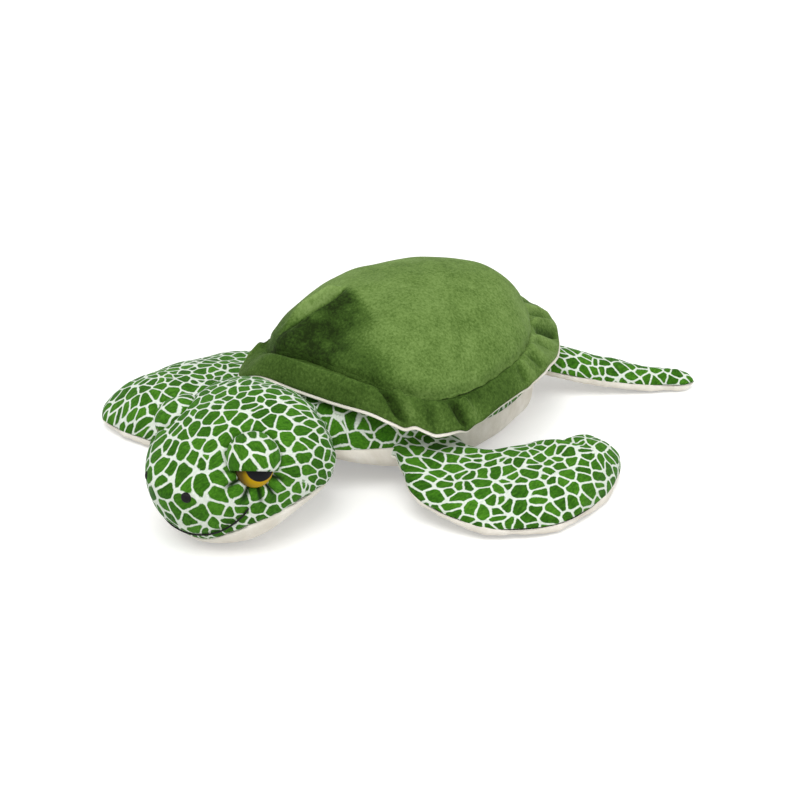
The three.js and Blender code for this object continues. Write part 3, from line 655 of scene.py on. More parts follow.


# Velour: a knitted pile of dense cut loops. Its colour is lighter and darker in clouds as its nap lies, and
# nearly black green where a piece's points carry dark nap and painted shade, lighter under a painted
# highlight, and the tufts give a fine mottle.
def brushed_velour(name):
    """Clouds of nap from noises at three scales, darkened by the piece's own dark nap and painted shade."""
    material = new_material(name)
    vector = add_node(material, "TexCoord").outputs["Object"]
    clouds, strokes, mottle = [
        add_node(material, "TexNoise", {"Vector": vector, "Scale": 1 / size, **inputs})
        for size, inputs in (
            (0.06, {"Detail": 4.0, "Roughness": 0.55, "Distortion": 0.6}),
            (0.012, {"Detail": 5.0, "Roughness": 0.65}),
            (0.0022, {"Detail": 2.0, "Roughness": 0.7}),
        )
    ]
    tone = add_node(material, "MapRange", {0: clouds, 1: 0.3, 2: 0.7, 3: 0.61, 4: 0.81})
    # Dark nap and painted shade darken the tone by each point's number; under 0 it is a painted highlight.
    nap_and_painted_shade = add_node(material, "Attribute", attribute_name="nap_and_painted_shade").outputs["Fac"]
    ragged = add_node(material, "MapRange", {0: strokes, 1: 0.3, 2: 0.7, 3: 0.34, 4: 0.84})
    darker = add_node(material, "Math", {0: nap_and_painted_shade, 1: ragged}, operation="MULTIPLY")
    tone = add_node(material, "Math", {0: tone, 1: darker}, operation="SUBTRACT")
    for noise, amount in ((strokes, 0.17), (mottle, 0.3)):
        part = add_node(material, "MapRange", {0: noise, 1: 0.3, 2: 0.7, 3: -amount / 2, 4: amount / 2})
        tone = add_node(material, "Math", {0: tone, 1: part}, operation="ADD")
    greens = {0.0: "#1b2a08", 0.25: "#304816", 0.5: "#4a6529", 0.75: "#688342", 1.0: "#7f9957"}
    greens = add_node(material, "ValToRGB", {0: tone}, greens)
    bump = pile_bump(material, vector, 0.0010, 0.0004, mottle)
    look = {"Base Color": greens, "Normal": bump, "Roughness": 0.8, "Specular IOR Level": 0.08}
    sheen = {"Sheen Weight": 0.14, "Sheen Roughness": 0.3, "Sheen Tint": "#c8e0a0"}
    return surfaced(material, {**look, **sheen})


velour = brushed_velour("brushed_green_velour")
crown.data.materials.append(velour)
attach(crown, "torso")
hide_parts("shell_crown", "shell_filling")

# Shell rim: a loose flap of the velour, cut wider at the tail end, gathered into the crown's seam so that
# it ripples. A cream lining is sewn under it and rolls out along its edge as a pale line.
rim_side = (11, 21)
rim_front = (10, 12)
rim_rear = (48, 26)
rim_ripple_height = 1.0
rim_ripple_count = 13
rim_hang_power = 1.15
rim_collar = 6.5
rim_tuck = 0.35
rim_tuck_run = 32
rim_hem_roll = 0.06
flare_way = (-0.81, -0.59)
velour_thickness = 3.2
lining_depth = 3.5
lining_thickness = 1.6
rim_gap = 1.0
rim_gap_slope = 1.3
# Each pleat: where it starts at the seam and ends at the hem as angles, its width as an angle and its depth.
rim_pleats = [
    (-1.245, -1.02, 0.06, 8.0),
    (-0.78, -0.72, 0.05, 2.5),
    (-0.49, -0.38, 0.05, 8.5),
    (0.1, 0.08, 0.035, 3.4),
    (0.31, 0.29, 0.045, 3.6),
    (0.55, 0.57, 0.04, 3.0),
    (0.72, 0.81, 0.055, 7.0),
    (1.0, 1.04, 0.045, 4.0),
    (1.3, 1.36, 0.055, 5.0),
    (1.95, 1.9, 0.055, 5.4),
    (2.5, 2.58, 0.055, 4.6),
    (3.1, 3.04, 0.045, 4.6),
    (3.62, 3.7, 0.055, 5.6),
]


def rim_folds(held, angle):
    """Pleats across the flap, each a narrow valley with a ridge beside it, as two bell curves.

    Small gathers leave the seam between them, most of them towards the tail end.
    """
    folds = np.zeros(np.broadcast(held, angle).shape)
    for start, end, width, depth in rim_pleats:
        centre = start + (end - start) * held
        away = wrapped(angle - centre) / width
        folds = folds - depth * (bell(away) - 0.7 * bell(away - 1.8))
    folds = folds * eased(held, 0, 0.3) * (1 - 0.8 * eased(held, 0.65, 1))
    gathers = np.cos(64 * angle + 4 * np.sin(5 * angle)) * eased(np.sin(angle), -0.9, 0.5)
    return folds + 1.1 * gathers * eased(held, 0, 0.06) * np.exp(-held / 0.3)


def rim_point(reach, angle, depth):
    """The flap: it stands out from the seam as an oval, and its height falls as a power of its reach.

    It ripples with the angle. Near the front a low collar stands up before it falls, and its front right
    corner flares outward. Inward of the seam it lies level, as the edge that is sewn in under the crown.
    """
    end = np.sin(angle) ** 2
    front = np.sin(angle) < 0
    ends = np.where(front, rim_front[1], rim_rear[1])
    drop = rim_side[1] + (ends - rim_side[1]) * end
    held = np.clip(reach, 0, 1)
    ripple = rim_ripple_height * held * np.cos(rim_ripple_count * angle + 1.5 * np.sin(2 * angle + 1))
    ripple = ripple + rim_folds(held, angle)
    collar = rim_collar * np.sin(math.pi * held**0.6) * eased(-np.sin(angle), 0.25, 0.85)
    collar = collar * (1 - 0.85 * at_angle(angle, front_right_corner, 0.28))
    drawn = held * (6 * at_angle(angle, 0.1, 0.4) + 4 * at_angle(angle, 1.15, 0.3))
    flare = 8 * held * at_angle(angle, front_right_corner, 0.35)
    out, tucked = np.maximum(reach, 0), rim_tuck_run * np.minimum(reach, 0)
    widths = [0.3 + size[0] * out + tucked for size in (rim_side, rim_front, rim_rear)]
    x, y = shell_outline(angle, *widths)
    z = crown_seam(angle) - drop * held**rim_hang_power + ripple + collar + drawn - depth
    return stacked(x + flare_way[0] * flare, y + flare_way[1] * flare, z)


def flap(name, section, roll_out=0.0):
    """A sealed ring of cloth: a section of reaches and depths, carried right round the rim.

    Along the front and the left side its hem may roll out farther, by a share of the rim's width. Returns
    the piece and the height of its folds.
    """
    columns = 720
    angle = full_turn(columns)
    reach, depth = [np.array(row)[:, None] for row in zip(*section)]
    rolled = np.maximum(eased(-np.sin(angle), 0.2, 0.7), 0.85 * at_angle(angle, 0.55, 0.6))
    reach = reach + roll_out * eased(reach, 0.6, 0.9) * rolled
    points = rim_point(reach, angle, depth)
    numbers = numbered(0, len(section), columns, True)
    flat = stacked(run_of(points, 1), run_of(points, 0)).reshape(-1, 2) * 0.001
    piece, used = sewn(name, points.reshape(-1, 3), [np.vstack([numbers, numbers[:1]])], flat)
    return piece, rim_folds(np.clip(reach, 0, 1), angle).ravel()[used]


def hemmed_section(top, bottom, hem):
    """A strip's section: out along its upper face, half a circle round its hem and back along its lower."""
    rows = 34
    middle, half = (top + bottom) / 2, (bottom - top) / 2
    out = [(share, top) for share in np.linspace(-rim_tuck, hem, rows)]
    turns = np.linspace(0, math.pi, 7)[1:-1]
    roll = [(hem + rim_hem_roll * math.sin(turn), middle - half * math.cos(turn)) for turn in turns]
    back = [(share, bottom) for share in np.linspace(hem, -rim_tuck, rows)]
    return out + roll + back


rim, folds = flap("shell_rim_cloth", hemmed_section(0, velour_thickness, 0.94))
lining_section = hemmed_section(lining_depth, lining_depth + lining_thickness, 0.86)
lining = flap("rim_lining_cloth", lining_section, 0.15)[0]
places = places_of(rim)
turn = np.arctan2(places[:, 1] - shell_centre, places[:, 0])
# Painted shade towards the rim's front with random mottle from the lumps; shade in pleat valleys, highlight on
# crests.
painted_shade_and_mottle = 0.08 + 0.46 * eased(-np.sin(turn), -0.5, 0.3) + 0.12 * lumps(places, 40, 15)
shade_points(rim, painted_shade_and_mottle + np.clip(-folds / 10, -0.25, 0.5))
for piece, cloth, slot, node in (
    (rim, velour, "shell_velour", "shell_rim"),
    (lining, cream_cloth, "cream_cloth", "rim_lining"),
):
    piece.data.materials.append(cloth)
    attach(piece, "torso")
    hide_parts(node)

# Head: printed cloth over the snout, crown and cheeks and a cream panel under the chin, stuffed round and
# full. The neck end is gathered into the torso's front, and the eyes' shanks pull dimples into the cheeks.
head_rear = -100
head_turn = math.radians(10)
head_length = 147
head_half_width = 63
head_seam_height = 52
head_rise = 52
head_width_shares = [0.6, 0.84, 0.97, 1, 0.95, 0.84, 0.67]
head_rise_shares = [0.52, 0.82, 1, 1, 0.88, 0.66, 0.42]
head_drop_shares = [0.28, 0.5, 0.7, 0.86, 0.96, 1, 0.96]
head_round_shares = (0.24, 0.38)
head_side_power = 0.9
chin_start, chin_end = 0.1, 0.86
chin_half_angle = math.radians(74)
chin_edge_power = 4
chin_curve = 52
chin_thickness = 1.8
eye_share = 0.685
eye_angle = math.radians(28.5)
lid_tilt = math.radians(24)
lid_radius = 19.5
lid_lift = 8.5
nostril_share = 0.95
nostril_angle = math.radians(12)
mouth_places = [0.74, 0.82, 0.88, 0.905, 0.88, 0.82, 0.74]
mouth_angles = [-3.6, -27.9, -55.8, -90, -124.2, -152.1, -176.4]
head_map_lean = math.radians(38)
head_map_radii = (63, 66, 66)
head_map_ball = 0.064
head_forward = np.array([-math.sin(head_turn), -math.cos(head_turn), 0])
head_across = np.array([math.cos(head_turn), -math.sin(head_turn), 0])

head_point = stuffed_form(
    straight_spine(head_rear, -1, head_turn, head_seam_height),
    head_length,
    head_half_width,
    (head_rise, head_seam_height + rest_depth),
    (head_width_shares, head_width_shares, head_rise_shares, head_drop_shares),
    head_round_shares,
    (head_side_power, head_side_power),
)


def unit(vectors):
    """Vectors divided by their lengths."""
    return vectors / np.linalg.norm(vectors, axis=-1, keepdims=True)


def head_spot(place, angle, tilt=0.0):
    """A place on the head, with the directions across it, out of the cloth and up over the head."""

    def at(place, angle):
        """The head's point, as one array of three."""
        return head_point(np.array(float(place)), np.array(float(angle)))

    point = at(place, angle)
    along = at(place + 0.01, angle) - point
    up = at(place, angle + 0.01) - point
    out = unit(np.cross(up, along))
    middle = (at(place, 0) + at(place, math.pi)) / 2
    if out @ (point - middle) < 0:
        out = -out
    if up[2] < 0:
        up = -up
    up = unit(up - (up @ out) * out)
    side = np.cross(out, up)
    rear = side if side[1] > 0 else -side
    up = up * math.cos(tilt) + rear * math.sin(tilt)
    return point, np.cross(out, up), out, up


def in_frame(points, spot):
    """Places measured across, out of and up along the cloth at a spot."""
    return (points - spot[0]) @ np.array(spot[1:]).T


def from_frame(places, spot):
    """The opposite: places across, out and up from a spot, as points."""
    return spot[0] + places @ np.array(spot[1:])


eye_spots = {
    "left": head_spot(eye_share, eye_angle, lid_tilt),
    "right": head_spot(eye_share, math.pi - eye_angle, lid_tilt),
}
mouth_run = np.linspace(0, 1, 240)
mouth_line = head_point(through(mouth_places)(mouth_run), np.radians(through(mouth_angles)(mouth_run)))


def chin_half(share):
    """The chin panel's half width as an angle: a squarer ellipse along its length."""
    return chin_half_angle * np.sqrt(np.clip(1 - np.abs(2 * share - 1) ** chin_edge_power, 0, 1))


def chin_inside(place, angle):
    """How many millimetres inside the chin panel's outline a place on the head is: -20 beyond its ends."""
    share = (place - chin_start) / (chin_end - chin_start)
    inside = (chin_half(share) - np.abs(wrapped(angle + math.pi / 2))) * chin_curve
    return np.where((share > 0) & (share < 1), inside, -20.0)


def eye_dimples(places):
    """The shanks draw the cheeks in: rings round each eye, and below it sharp creases that fan out.

    The rings are bell curves of the reach from the eye's middle, the creases powers of a wave of the bearing.
    A groove runs round each lid's edge. Returns the relief, and painted shade for the creases and the grooves.
    """
    relief, painted_crease_shade = np.zeros(len(places)), np.zeros(len(places))
    for spot in eye_spots.values():
        across, out, up = in_frame(places, spot).T
        reach = np.hypot(across, up)
        near = np.abs(out) < 25
        below = eased(-up, -4, 8)
        relief += near * 1.3 * bell(reach - 18, 5) * below
        relief -= near * 1.2 * bell(reach - 12, 3)
        bearing = np.arctan2(up, across)
        folds = 0.5 + 0.5 * np.cos(11 * bearing + 0.8 * np.sin(3 * bearing) + 0.7)
        shown = near * below * bell(reach - 16, 7)
        relief -= 3.2 * folds**3 * shown
        # Painted shade darkens the print in the creases below the eye.
        painted_crease_shade += 1.5 * folds**4 * shown
        lid_reach = np.hypot(across, up - lid_lift)
        beside = near * eased(up, -3, 5)
        relief -= 1.8 * bell(lid_reach - lid_radius - 0.5, 2) * beside
        # Painted shade along the groove round the lid's edge.
        painted_crease_shade += 0.5 * bell(lid_reach - lid_radius, 1.6) * beside
    return relief, np.clip(painted_crease_shade, 0, 1)


def under_rim(points, joint=None, start=None, end=None):
    """Presses points down so that they stay below the rim's lining over a joint's whole travel.

    A point's reach and angle on the rim's ovals are found by halving, and its height is held under the lining
    there, or under a slope that climbs away from the rim's edge. A point between start and end turns by a
    smooth share of the joint's angle, as the cloth across a joint does.
    """
    pressed = points.copy()
    turns = [0.0]
    if joint:
        low, high = np.radians(joint["range_deg"])
        turns = np.linspace(low, high, 9)
        centre = np.array(joint["pos_m"]) * 1000
        axis = unit(np.array(joint["axis"]))
        run = end - start
        follow = eased((points - start) @ run / (run @ run), 0, 1)
    for turn in turns:
        moved = pressed
        if joint:
            arm = pressed - centre
            spin = (turn * follow)[:, None]
            moved = centre + arm * np.cos(spin) + np.cross(axis, arm) * np.sin(spin)
            moved = moved + axis * (arm @ axis)[:, None] * (1 - np.cos(spin))
        x, y = moved[:, 0], moved[:, 1] - shell_centre
        is_front = y < 0
        power = np.where(is_front, crown_front_power, 1)
        low_reach, high_reach = np.full(len(x), -0.9), np.full(len(x), 6.0)
        for step in range(24):
            reach = (low_reach + high_reach) / 2
            wide = crown_half_width + 0.3 + rim_side[0] * reach
            ahead, behind = crown_reaches[0] + rim_front[0] * reach, crown_reaches[1] + rim_rear[0] * reach
            long = 0.3 + np.where(is_front, ahead, behind)
            outside = np.abs(x / wide) ** (2 / power) + np.abs(y / long) ** (2 / power) > 1
            low_reach = np.where(outside, reach, low_reach)
            high_reach = np.where(outside, high_reach, reach)
        angle = np.arctan2(powered(y / long, 1 / power), powered(x / wide, 1 / power))
        edge = rim_point(np.clip(reach, 0, 1), angle, lining_depth + lining_thickness)
        beyond = np.linalg.norm(moved[:, :2] - edge[:, :2], axis=1) * (reach > 1)
        cap = edge[:, 2] - rim_gap + rim_gap_slope * np.maximum(beyond - 2, 0)
        over = np.maximum(moved[:, 2] - cap, 0) * (reach > -0.6)
        pressed[:, 2] -= over
    return pressed


def on_head_line(share):
    """A point on the head's middle line, at a share of its length."""
    return np.array([0, head_rear, head_seam_height]) + share * head_length * head_forward


def head_map(points):
    """Lays the head's cloth flat round its forehead, by each point's bearing and angle from there.

    The head is taken as an egg with its own radii, and the angle becomes a length on a ball.
    """
    pole = head_forward * math.cos(head_map_lean) + upward * math.sin(head_map_lean)
    offset = points - on_head_line(0.5)
    across, crosswise, out = offset @ head_across, offset @ np.cross(pole, head_across), offset @ pole
    ray = unit(stacked(across, crosswise, out) / head_map_radii)
    tilt = np.arccos(np.clip(ray[:, 2], -1, 1))
    bearing = np.arctan2(ray[:, 1], ray[:, 0])
    return stacked(tilt * np.cos(bearing), tilt * np.sin(bearing)) * head_map_ball


for piece in (torso_cover, belly):
    move_to(piece, under_rim(places_of(piece)))
neck = joints["neck_nod"]
neck_start, neck_end = np.array([0, -100.0, 46]), np.array([0, -128.0, 46])


def head_cloth():
    """The whole head as one sealed skin, sunk where the chin panel lies on it."""
    rows, columns = 230, 330
    place, angle = np.broadcast_arrays(eased_steps(rows, True, True)[:, None], full_turn(columns))
    points = head_point(place, angle).reshape(-1, 3)
    numbers = numbered(0, rows, columns, True, (True, True))
    piece, used = sewn("head_cover_cloth", points, [numbers], head_map(points))
    place, angle = place.ravel()[used], angle.ravel()[used]
    places = places_of(piece)
    inside = chin_inside(place, angle)
    dimples, painted_crease_shade = eye_dimples(places)
    relief = 0.9 * lumps(places, 60, 21) + 0.35 * lumps(places, 24, 22) + dimples
    relief -= 2.4 * eased(inside, 0, 2.5) + 1.0 * bell(inside, 1.8)
    relief -= 0.35 * (1 + np.cos(76 * place + 3 * np.sin(9 * place))) * np.exp(-np.abs(inside) / 7)
    gathers = np.cos(17 * angle + 1.5 * np.sin(3 * angle)) + 0.5 * np.cos(29 * angle)
    relief += 1.1 * gathers * eased(place, 0.32, 0.08) * eased(place, 0.0, 0.05)
    front = place > 0.6
    away = np.full(len(places), 99.0)
    gaps = places[front][:, None] - mouth_line[None, ::4]
    away[front] = np.sqrt((gaps**2).sum(-1).min(1))
    relief -= 1.1 * bell(away, 2.4) + 0.5 * bell(away, 7)
    swell(piece, relief)
    shade_points(piece, painted_crease_shade)
    move_to(piece, under_rim(places_of(piece), neck, neck_start, neck_end))
    return piece


head_cover = head_cloth()


def chin_cloth():
    """The chin panel: a patch of the head, a little proud and drawn in along its edge, and its inside."""
    rows, columns = 110, 120
    run = eased_steps(rows, True, True)[:, None]
    place = chin_start + (chin_end - chin_start) * run
    angle = -math.pi / 2 + np.linspace(-1, 1, columns)[None, :] * chin_half(run)
    front, back = head_point(place, angle), head_point(place, angle, chin_thickness)
    face = numbered(0, rows, columns, poles=(True, True))
    behind = numbered(rows * columns, rows, columns, poles=(True, True))
    edges = [np.stack([face[:, side], behind[:, side]], 1) for side in (0, -1)]
    flat = np.tile(front[..., [1, 0]].reshape(-1, 2) * 0.001, (2, 1))
    piece, used = sewn("chin_cloth", listed(front, back), [face, behind, *edges], flat)
    around = run_of(front, 1)
    edge = np.minimum(around, around[:, -1:] - around)
    ahead = run_of(front, 0)[:, columns // 2][:, None]
    edge = np.minimum(edge, np.minimum(ahead, ahead[-1] - ahead)).ravel()
    along = np.broadcast_to(ahead, (rows, columns)).ravel()
    relief = 0.5 - 1.5 * bell(edge, seam_width) - 0.3 * (1 + np.cos(along * 0.8)) * np.exp(-edge / 7)
    relief += 0.9 * lumps(front.reshape(-1, 3), 60, 21)
    swell(piece, np.concatenate([relief, np.zeros(len(relief))])[used])
    return piece


chin = chin_cloth()
head_print = printed_pile("printed_velboa_head", turn=0.6)
for piece, cloth, slot, nodes in (
    (head_cover, head_print, "print_cloth", ["head_cover", "head_filling"]),
    (chin, cream_cloth, "cream_cloth", ["chin_panel"]),
):
    piece.data.materials.append(cloth)
    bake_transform(piece)
    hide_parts(*nodes)

# Eyes: moulded amber domes with a black pupil under the clear face, each on a shank that goes through the
# cloth to a pressed-on washer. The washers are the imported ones, moulded in white plastic.
eye_radius = 13.5
eye_bulge = 8
eye_skirt = 4
shank_radius = 2.2
shank_length = 11
eye_sinks = {"left": 0.5, "right": 6.0}
eye_rise = 1.2


def turned_on_spot(name, profile, spot):
    """A profile of radii and heights turned round the cloth's outward direction, its ends on the axis."""
    sides = 96
    radius, height = [np.array(row)[:, None] for row in zip(*profile)]
    turn = full_turn(sides)
    local = stacked(radius * np.cos(turn), height, radius * np.sin(turn))
    flat = local[..., [0, 2]].reshape(-1, 2) * 0.001
    numbers = numbered(0, len(profile), sides, True, (True, True))
    return sewn(name, from_frame(local.reshape(-1, 3), spot), [numbers], flat)[0]


def eye_profile():
    """A rod, a flange with softened corners, a straight skirt and a dome that is a quarter ellipse."""
    turns = np.linspace(0, math.pi / 2, 28)
    dome = [(eye_radius * math.cos(t), eye_bulge * math.sin(t)) for t in turns]
    dome[-1] = (0, eye_bulge)
    rod = [(0, -shank_length), (shank_radius * 0.8, -shank_length), (shank_radius, -shank_length + 0.5)]
    flange = [(shank_radius, -eye_skirt), (eye_radius - 0.6, -eye_skirt), (eye_radius, -eye_skirt + 0.6)]
    return rod + flange + dome


# Acrylic moulded in clear amber over a black pupil, glossy all over. The amber is painted brightest round a spot
# of painted light and browns towards its thick edge, partly its own depth and partly painted shade.
pupil_centre = (0.0028, 0.0008, 0)
pupil_radius = 0.01
pupil_edge = 0.0004
painted_light_centre = (0.004, -0.004, 0)


def moulded_eye(name):
    """Colour from the place on the dome: black within the pupil, then amber browning from a spot of painted light
    towards its front.
    """
    material = new_material(name)
    vector = add_node(material, "UVMap", uv_map="cloth")
    from_pupil, from_painted_light = [
        add_node(material, "VectorMath", {0: vector, 1: centre}, operation="DISTANCE")
        for centre in (pupil_centre, painted_light_centre)
    ]
    pupil = {0: from_pupil, 1: pupil_radius, 2: pupil_radius + pupil_edge, 3: 1.0, 4: 0.0}
    pupil = add_node(material, "MapRange", pupil)
    # Painted light and shade in the amber: brightest near the spot, darker away from it.
    ambers = add_node(material, "MapRange", {0: from_painted_light, 1: 0.004, 2: 0.0175})
    stops = {0.0: "#c69c00", 0.42: "#a48400", 0.7: "#5a4604", 1.0: "#20160a"}
    ambers = add_node(material, "ValToRGB", {0: ambers}, stops)
    colour = add_node(material, "Mix", {"Factor": pupil, "A": ambers, "B": "#151519"}, data_type="RGBA")
    look = {"Base Color": colour, "Roughness": 0.12, "IOR": 1.49, "Specular IOR Level": 0.1}
    return surfaced(material, look)


# Nylon moulded plain, with the faint mottle that moulding leaves.
def moulded_washer(name):
    """A pale grey white with a fine noise in its colour and height."""
    material = new_material(name)
    vector = add_node(material, "TexCoord").outputs["Object"]
    mottle = add_node(material, "TexNoise", {"Vector": vector, "Scale": 1 / 0.002})
    whites = add_node(material, "Mix", {"Factor": mottle, "A": "#cfcfca", "B": "#e2e2de"}, data_type="RGBA")
    bump = pile_bump(material, vector, 0.0008, 0.0001)
    return surfaced(material, {"Base Color": whites, "Normal": bump, "Roughness": 0.45})


eye_plastic = moulded_eye("moulded_amber_acrylic")
washer_plastic = moulded_washer("moulded_white_nylon")
for side, spot in eye_spots.items():
    rearward = spot[1] if side == "right" else -spot[1]
    seat = spot[0] - eye_sinks[side] * spot[2] + eye_rise * spot[3]
    eye = turned_on_spot("eye_dome_" + side, eye_profile(), (seat, rearward, *spot[2:]))
    eye.data.materials.append(eye_plastic)
    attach(eye, "head")
    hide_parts("eye_" + side)
    washer = frame["nodes"]["eye_washer_" + side]
    washer.data.materials.clear()
    washer.data.materials.append(washer_plastic)

# Eyelids: small padded domes of the printed cloth, sewn down round the upper half of each eye, with a
# turned hem straight across the eye's middle.
lid_bulges = {"left": 12.0, "right": 7.0}
lid_sink = 4
lid_thickness = 2.1
lid_print_start = 0.35


def bed_under(spot, angle, across, up):
    """How far out of an eye's spot the head stands at places across and up from it, by Newton's steps."""
    nudge = 0.001
    places, angles = np.full(across.shape, eye_share), np.full(across.shape, angle)
    for step in range(8):
        here = in_frame(head_point(places, angles), spot)
        ahead = in_frame(head_point(places + nudge, angles), spot) - here
        above = in_frame(head_point(places, angles + nudge), spot) - here
        short = stacked(across, up) - here[..., [0, 2]]
        area = ahead[..., 0] * above[..., 2] - above[..., 0] * ahead[..., 2]
        move = (short[..., 0] * above[..., 2] - short[..., 1] * above[..., 0]) / area
        turn = (short[..., 1] * ahead[..., 0] - short[..., 0] * ahead[..., 2]) / area
        places = places + nudge * np.clip(move, -40, 40)
        angles = angles + nudge * np.clip(turn, -150, 150)
    return in_frame(head_point(places, angles), spot)[..., 1]


def lid_point(turn, swing, bulge, shrink):
    """A dome over the eye's upper half: it turns from one corner to the other and swings from hem to brow."""
    wide, deep = lid_radius - shrink, bulge + lid_sink - shrink
    across = wide * np.sin(turn) * np.cos(swing)
    out = deep * np.cos(turn) ** 0.7 * np.cos(swing) ** 0.75 - lid_sink
    up = lid_lift + wide * np.sin(swing)
    return stacked(across, out, up)


def eyelid(side, spot):
    """The outer and inner faces of the lid, with a rolled hem between them at the front."""
    rows, columns = 60, 90
    swing = np.linspace(-math.asin(lid_lift / lid_radius), math.pi / 2, rows)[:, None]
    turn = np.linspace(-math.pi / 2, math.pi / 2, columns)[None, :]
    outer, inner = [lid_point(turn, swing, lid_bulges[side], shrink) for shrink in (0, lid_thickness)]
    bed = bed_under(spot, eye_angle if side == "left" else math.pi - eye_angle, outer[..., 0], outer[..., 2])
    outer[..., 1] += bed
    inner[..., 1] += bed
    inner[0, :, 2] = outer[0, :, 2]
    roll = np.linspace(0, 1, 9)[1:-1, None, None]
    hem = outer[:1] * (1 + np.cos(math.pi * roll)) / 2 + inner[:1] * (1 - np.cos(math.pi * roll)) / 2
    hem = hem - upward * np.sin(math.pi * roll) * np.cos(turn)[..., None] ** 0.4
    points = listed(outer, inner, hem)
    face = numbered(0, rows, columns, poles=(False, True))
    behind = numbered(rows * columns, rows, columns, poles=(False, True))
    front = numbered(2 * rows * columns, len(hem), columns)
    grids = [face, behind, np.vstack([face[:1], front, behind[:1]])]
    for column in (0, -1):
        chain = np.concatenate([face[[0], column], front[:, column], behind[[0], column]])
        grids += [np.stack([chain, np.full_like(chain, chain[0])])]
        grids += [np.stack([face[:, column], behind[:, column]])]
    around = run_of(outer, 1)
    middle = columns // 2
    flat = stacked(around - around[:, middle, None], run_of(outer, 0)[:, middle, None]).reshape(-1, 2)
    flat = np.concatenate([flat, flat, np.tile(flat[:columns], (len(hem), 1))]) * 0.001 + lid_print_start
    piece, used = sewn("eyelid_cloth_" + side, from_frame(points, spot), grids, flat)
    edge = np.minimum(math.pi / 2 - np.abs(turn), math.pi / 2 - swing)
    relief = 0.35 * np.broadcast_to(edge, (rows, columns)).ravel()
    relief = np.concatenate([relief, np.zeros(len(points) - rows * columns)])[used]
    swell(piece, relief * (1 + 0.6 * lumps(places_of(piece), 14, 31)))
    return piece


lid_print = printed_pile("printed_velboa_lid", cell=0.0115, vein=0.08, turn=0.3)
for side, spot in eye_spots.items():
    lid = eyelid(side, spot)
    lid.data.materials.append(lid_print)
    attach(lid, "head")
    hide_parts("eyelid_" + side)

# Nostrils and mouth: black rayon thread. Each nostril is a round of satin stitches and the mouth one
# narrow line of them, sewn through the cloth before the head is stuffed, so that it lies a little sunk.
nostril_radius = 4
nostril_proud = 1.4
stitch_radius = 0.75
stitch_pitch = 0.75


def nostril(side, spot):
    """A low dome of parallel stitches: its height ripples across it with the thread's spacing."""
    rows, columns = 26, 72
    reach = eased_steps(rows, False, True)[:, None]
    turn = full_turn(columns)
    across, up = [nostril_radius * reach * wave for wave in (np.cos(turn), np.sin(turn))]
    ridge = 0.12 * np.cos(2 * math.pi * across / stitch_pitch)
    out = nostril_proud * (1 - reach**2.6) + ridge * (1 - reach**4) - 1.2 * reach**6
    face = stacked(across, out, up)
    points = listed(face, np.array([0, -3.0, 0]))
    front = numbered(0, rows, columns, True, (True, False))
    behind = np.full((1, columns + 1), rows * columns)
    grid = np.vstack([front, behind])
    return sewn("nostril_stitches_" + side, from_frame(points, spot), [grid], points[:, [0, 2]] * 0.001)[0]


def mouth_stitches():
    """A cord along the mouth's line, wider than it is high, whose width ripples with slanting stitches."""
    run = run_of(mouth_line, 0)
    count = int(run[-1] / stitch_pitch * 5)
    here = np.linspace(0, run[-1], count)
    spine = np.stack([np.interp(here, run, mouth_line[:, k]) for k in range(3)], -1)
    ahead = unit(np.gradient(spine, axis=0))
    out = spine - on_head_line(0.6)
    out = unit(out - (out * ahead).sum(1)[:, None] * ahead)
    across = np.cross(ahead, out)
    sides = 14
    turn = full_turn(sides)
    wave = 1 + 0.1 * np.cos(2 * math.pi * (here[:, None] / stitch_pitch + 0.35 * np.cos(turn)))
    ends = np.sqrt(np.clip(1 - (1 - np.minimum(here, here[-1] - here) / 3).clip(0, 1) ** 2, 0, 1))[:, None]
    wide = stitch_radius * wave * ends * np.cos(turn)
    high = 0.8 * stitch_radius * wave * ends * np.sin(turn) - 0.15
    points = spine[:, None] + wide[..., None] * across[:, None] + high[..., None] * out[:, None]
    flat = stacked(here[:, None], wide).reshape(-1, 2) * 0.001
    numbers = numbered(0, count, sides, True, (True, True))
    return sewn("mouth_stitches", points.reshape(-1, 3), [numbers], flat)[0]


# Rayon embroidery thread: filament yarn with little twist, so black satin stitch still shows a soft gloss.
def satin_thread(name):
    """Fine lines across the stitches, in colour and height, from a wave along the sewn map."""
    material = new_material(name)
    vector = add_node(material, "UVMap", uv_map="cloth")
    lines = {"Vector": vector, "Scale": 0.3 / 0.00075, "Distortion": 1.0, "Detail": 2.0}
    lines = add_node(material, "TexWave", lines).outputs["Fac"]
    blacks = add_node(material, "Mix", {"Factor": lines, "A": "#060606", "B": "#171517"}, data_type="RGBA")
    bump = pile_bump(material, vector, 0.0005, 0.0002, lines)
    look = {"Base Color": blacks, "Normal": bump, "Roughness": 0.6, "Specular IOR Level": 0.2}
    return surfaced(material, look)


thread = satin_thread("black_rayon_thread")
mouth = mouth_stitches()
stitched = {
    "nostril_left": nostril("left", head_spot(nostril_share, nostril_angle)),
    "nostril_right": nostril("right", head_spot(nostril_share, math.pi - nostril_angle)),
    "mouth_stitching": mouth,
}
for node, piece in stitched.items():
    piece.data.materials.append(thread)
    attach(piece, "head")
    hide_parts(node)

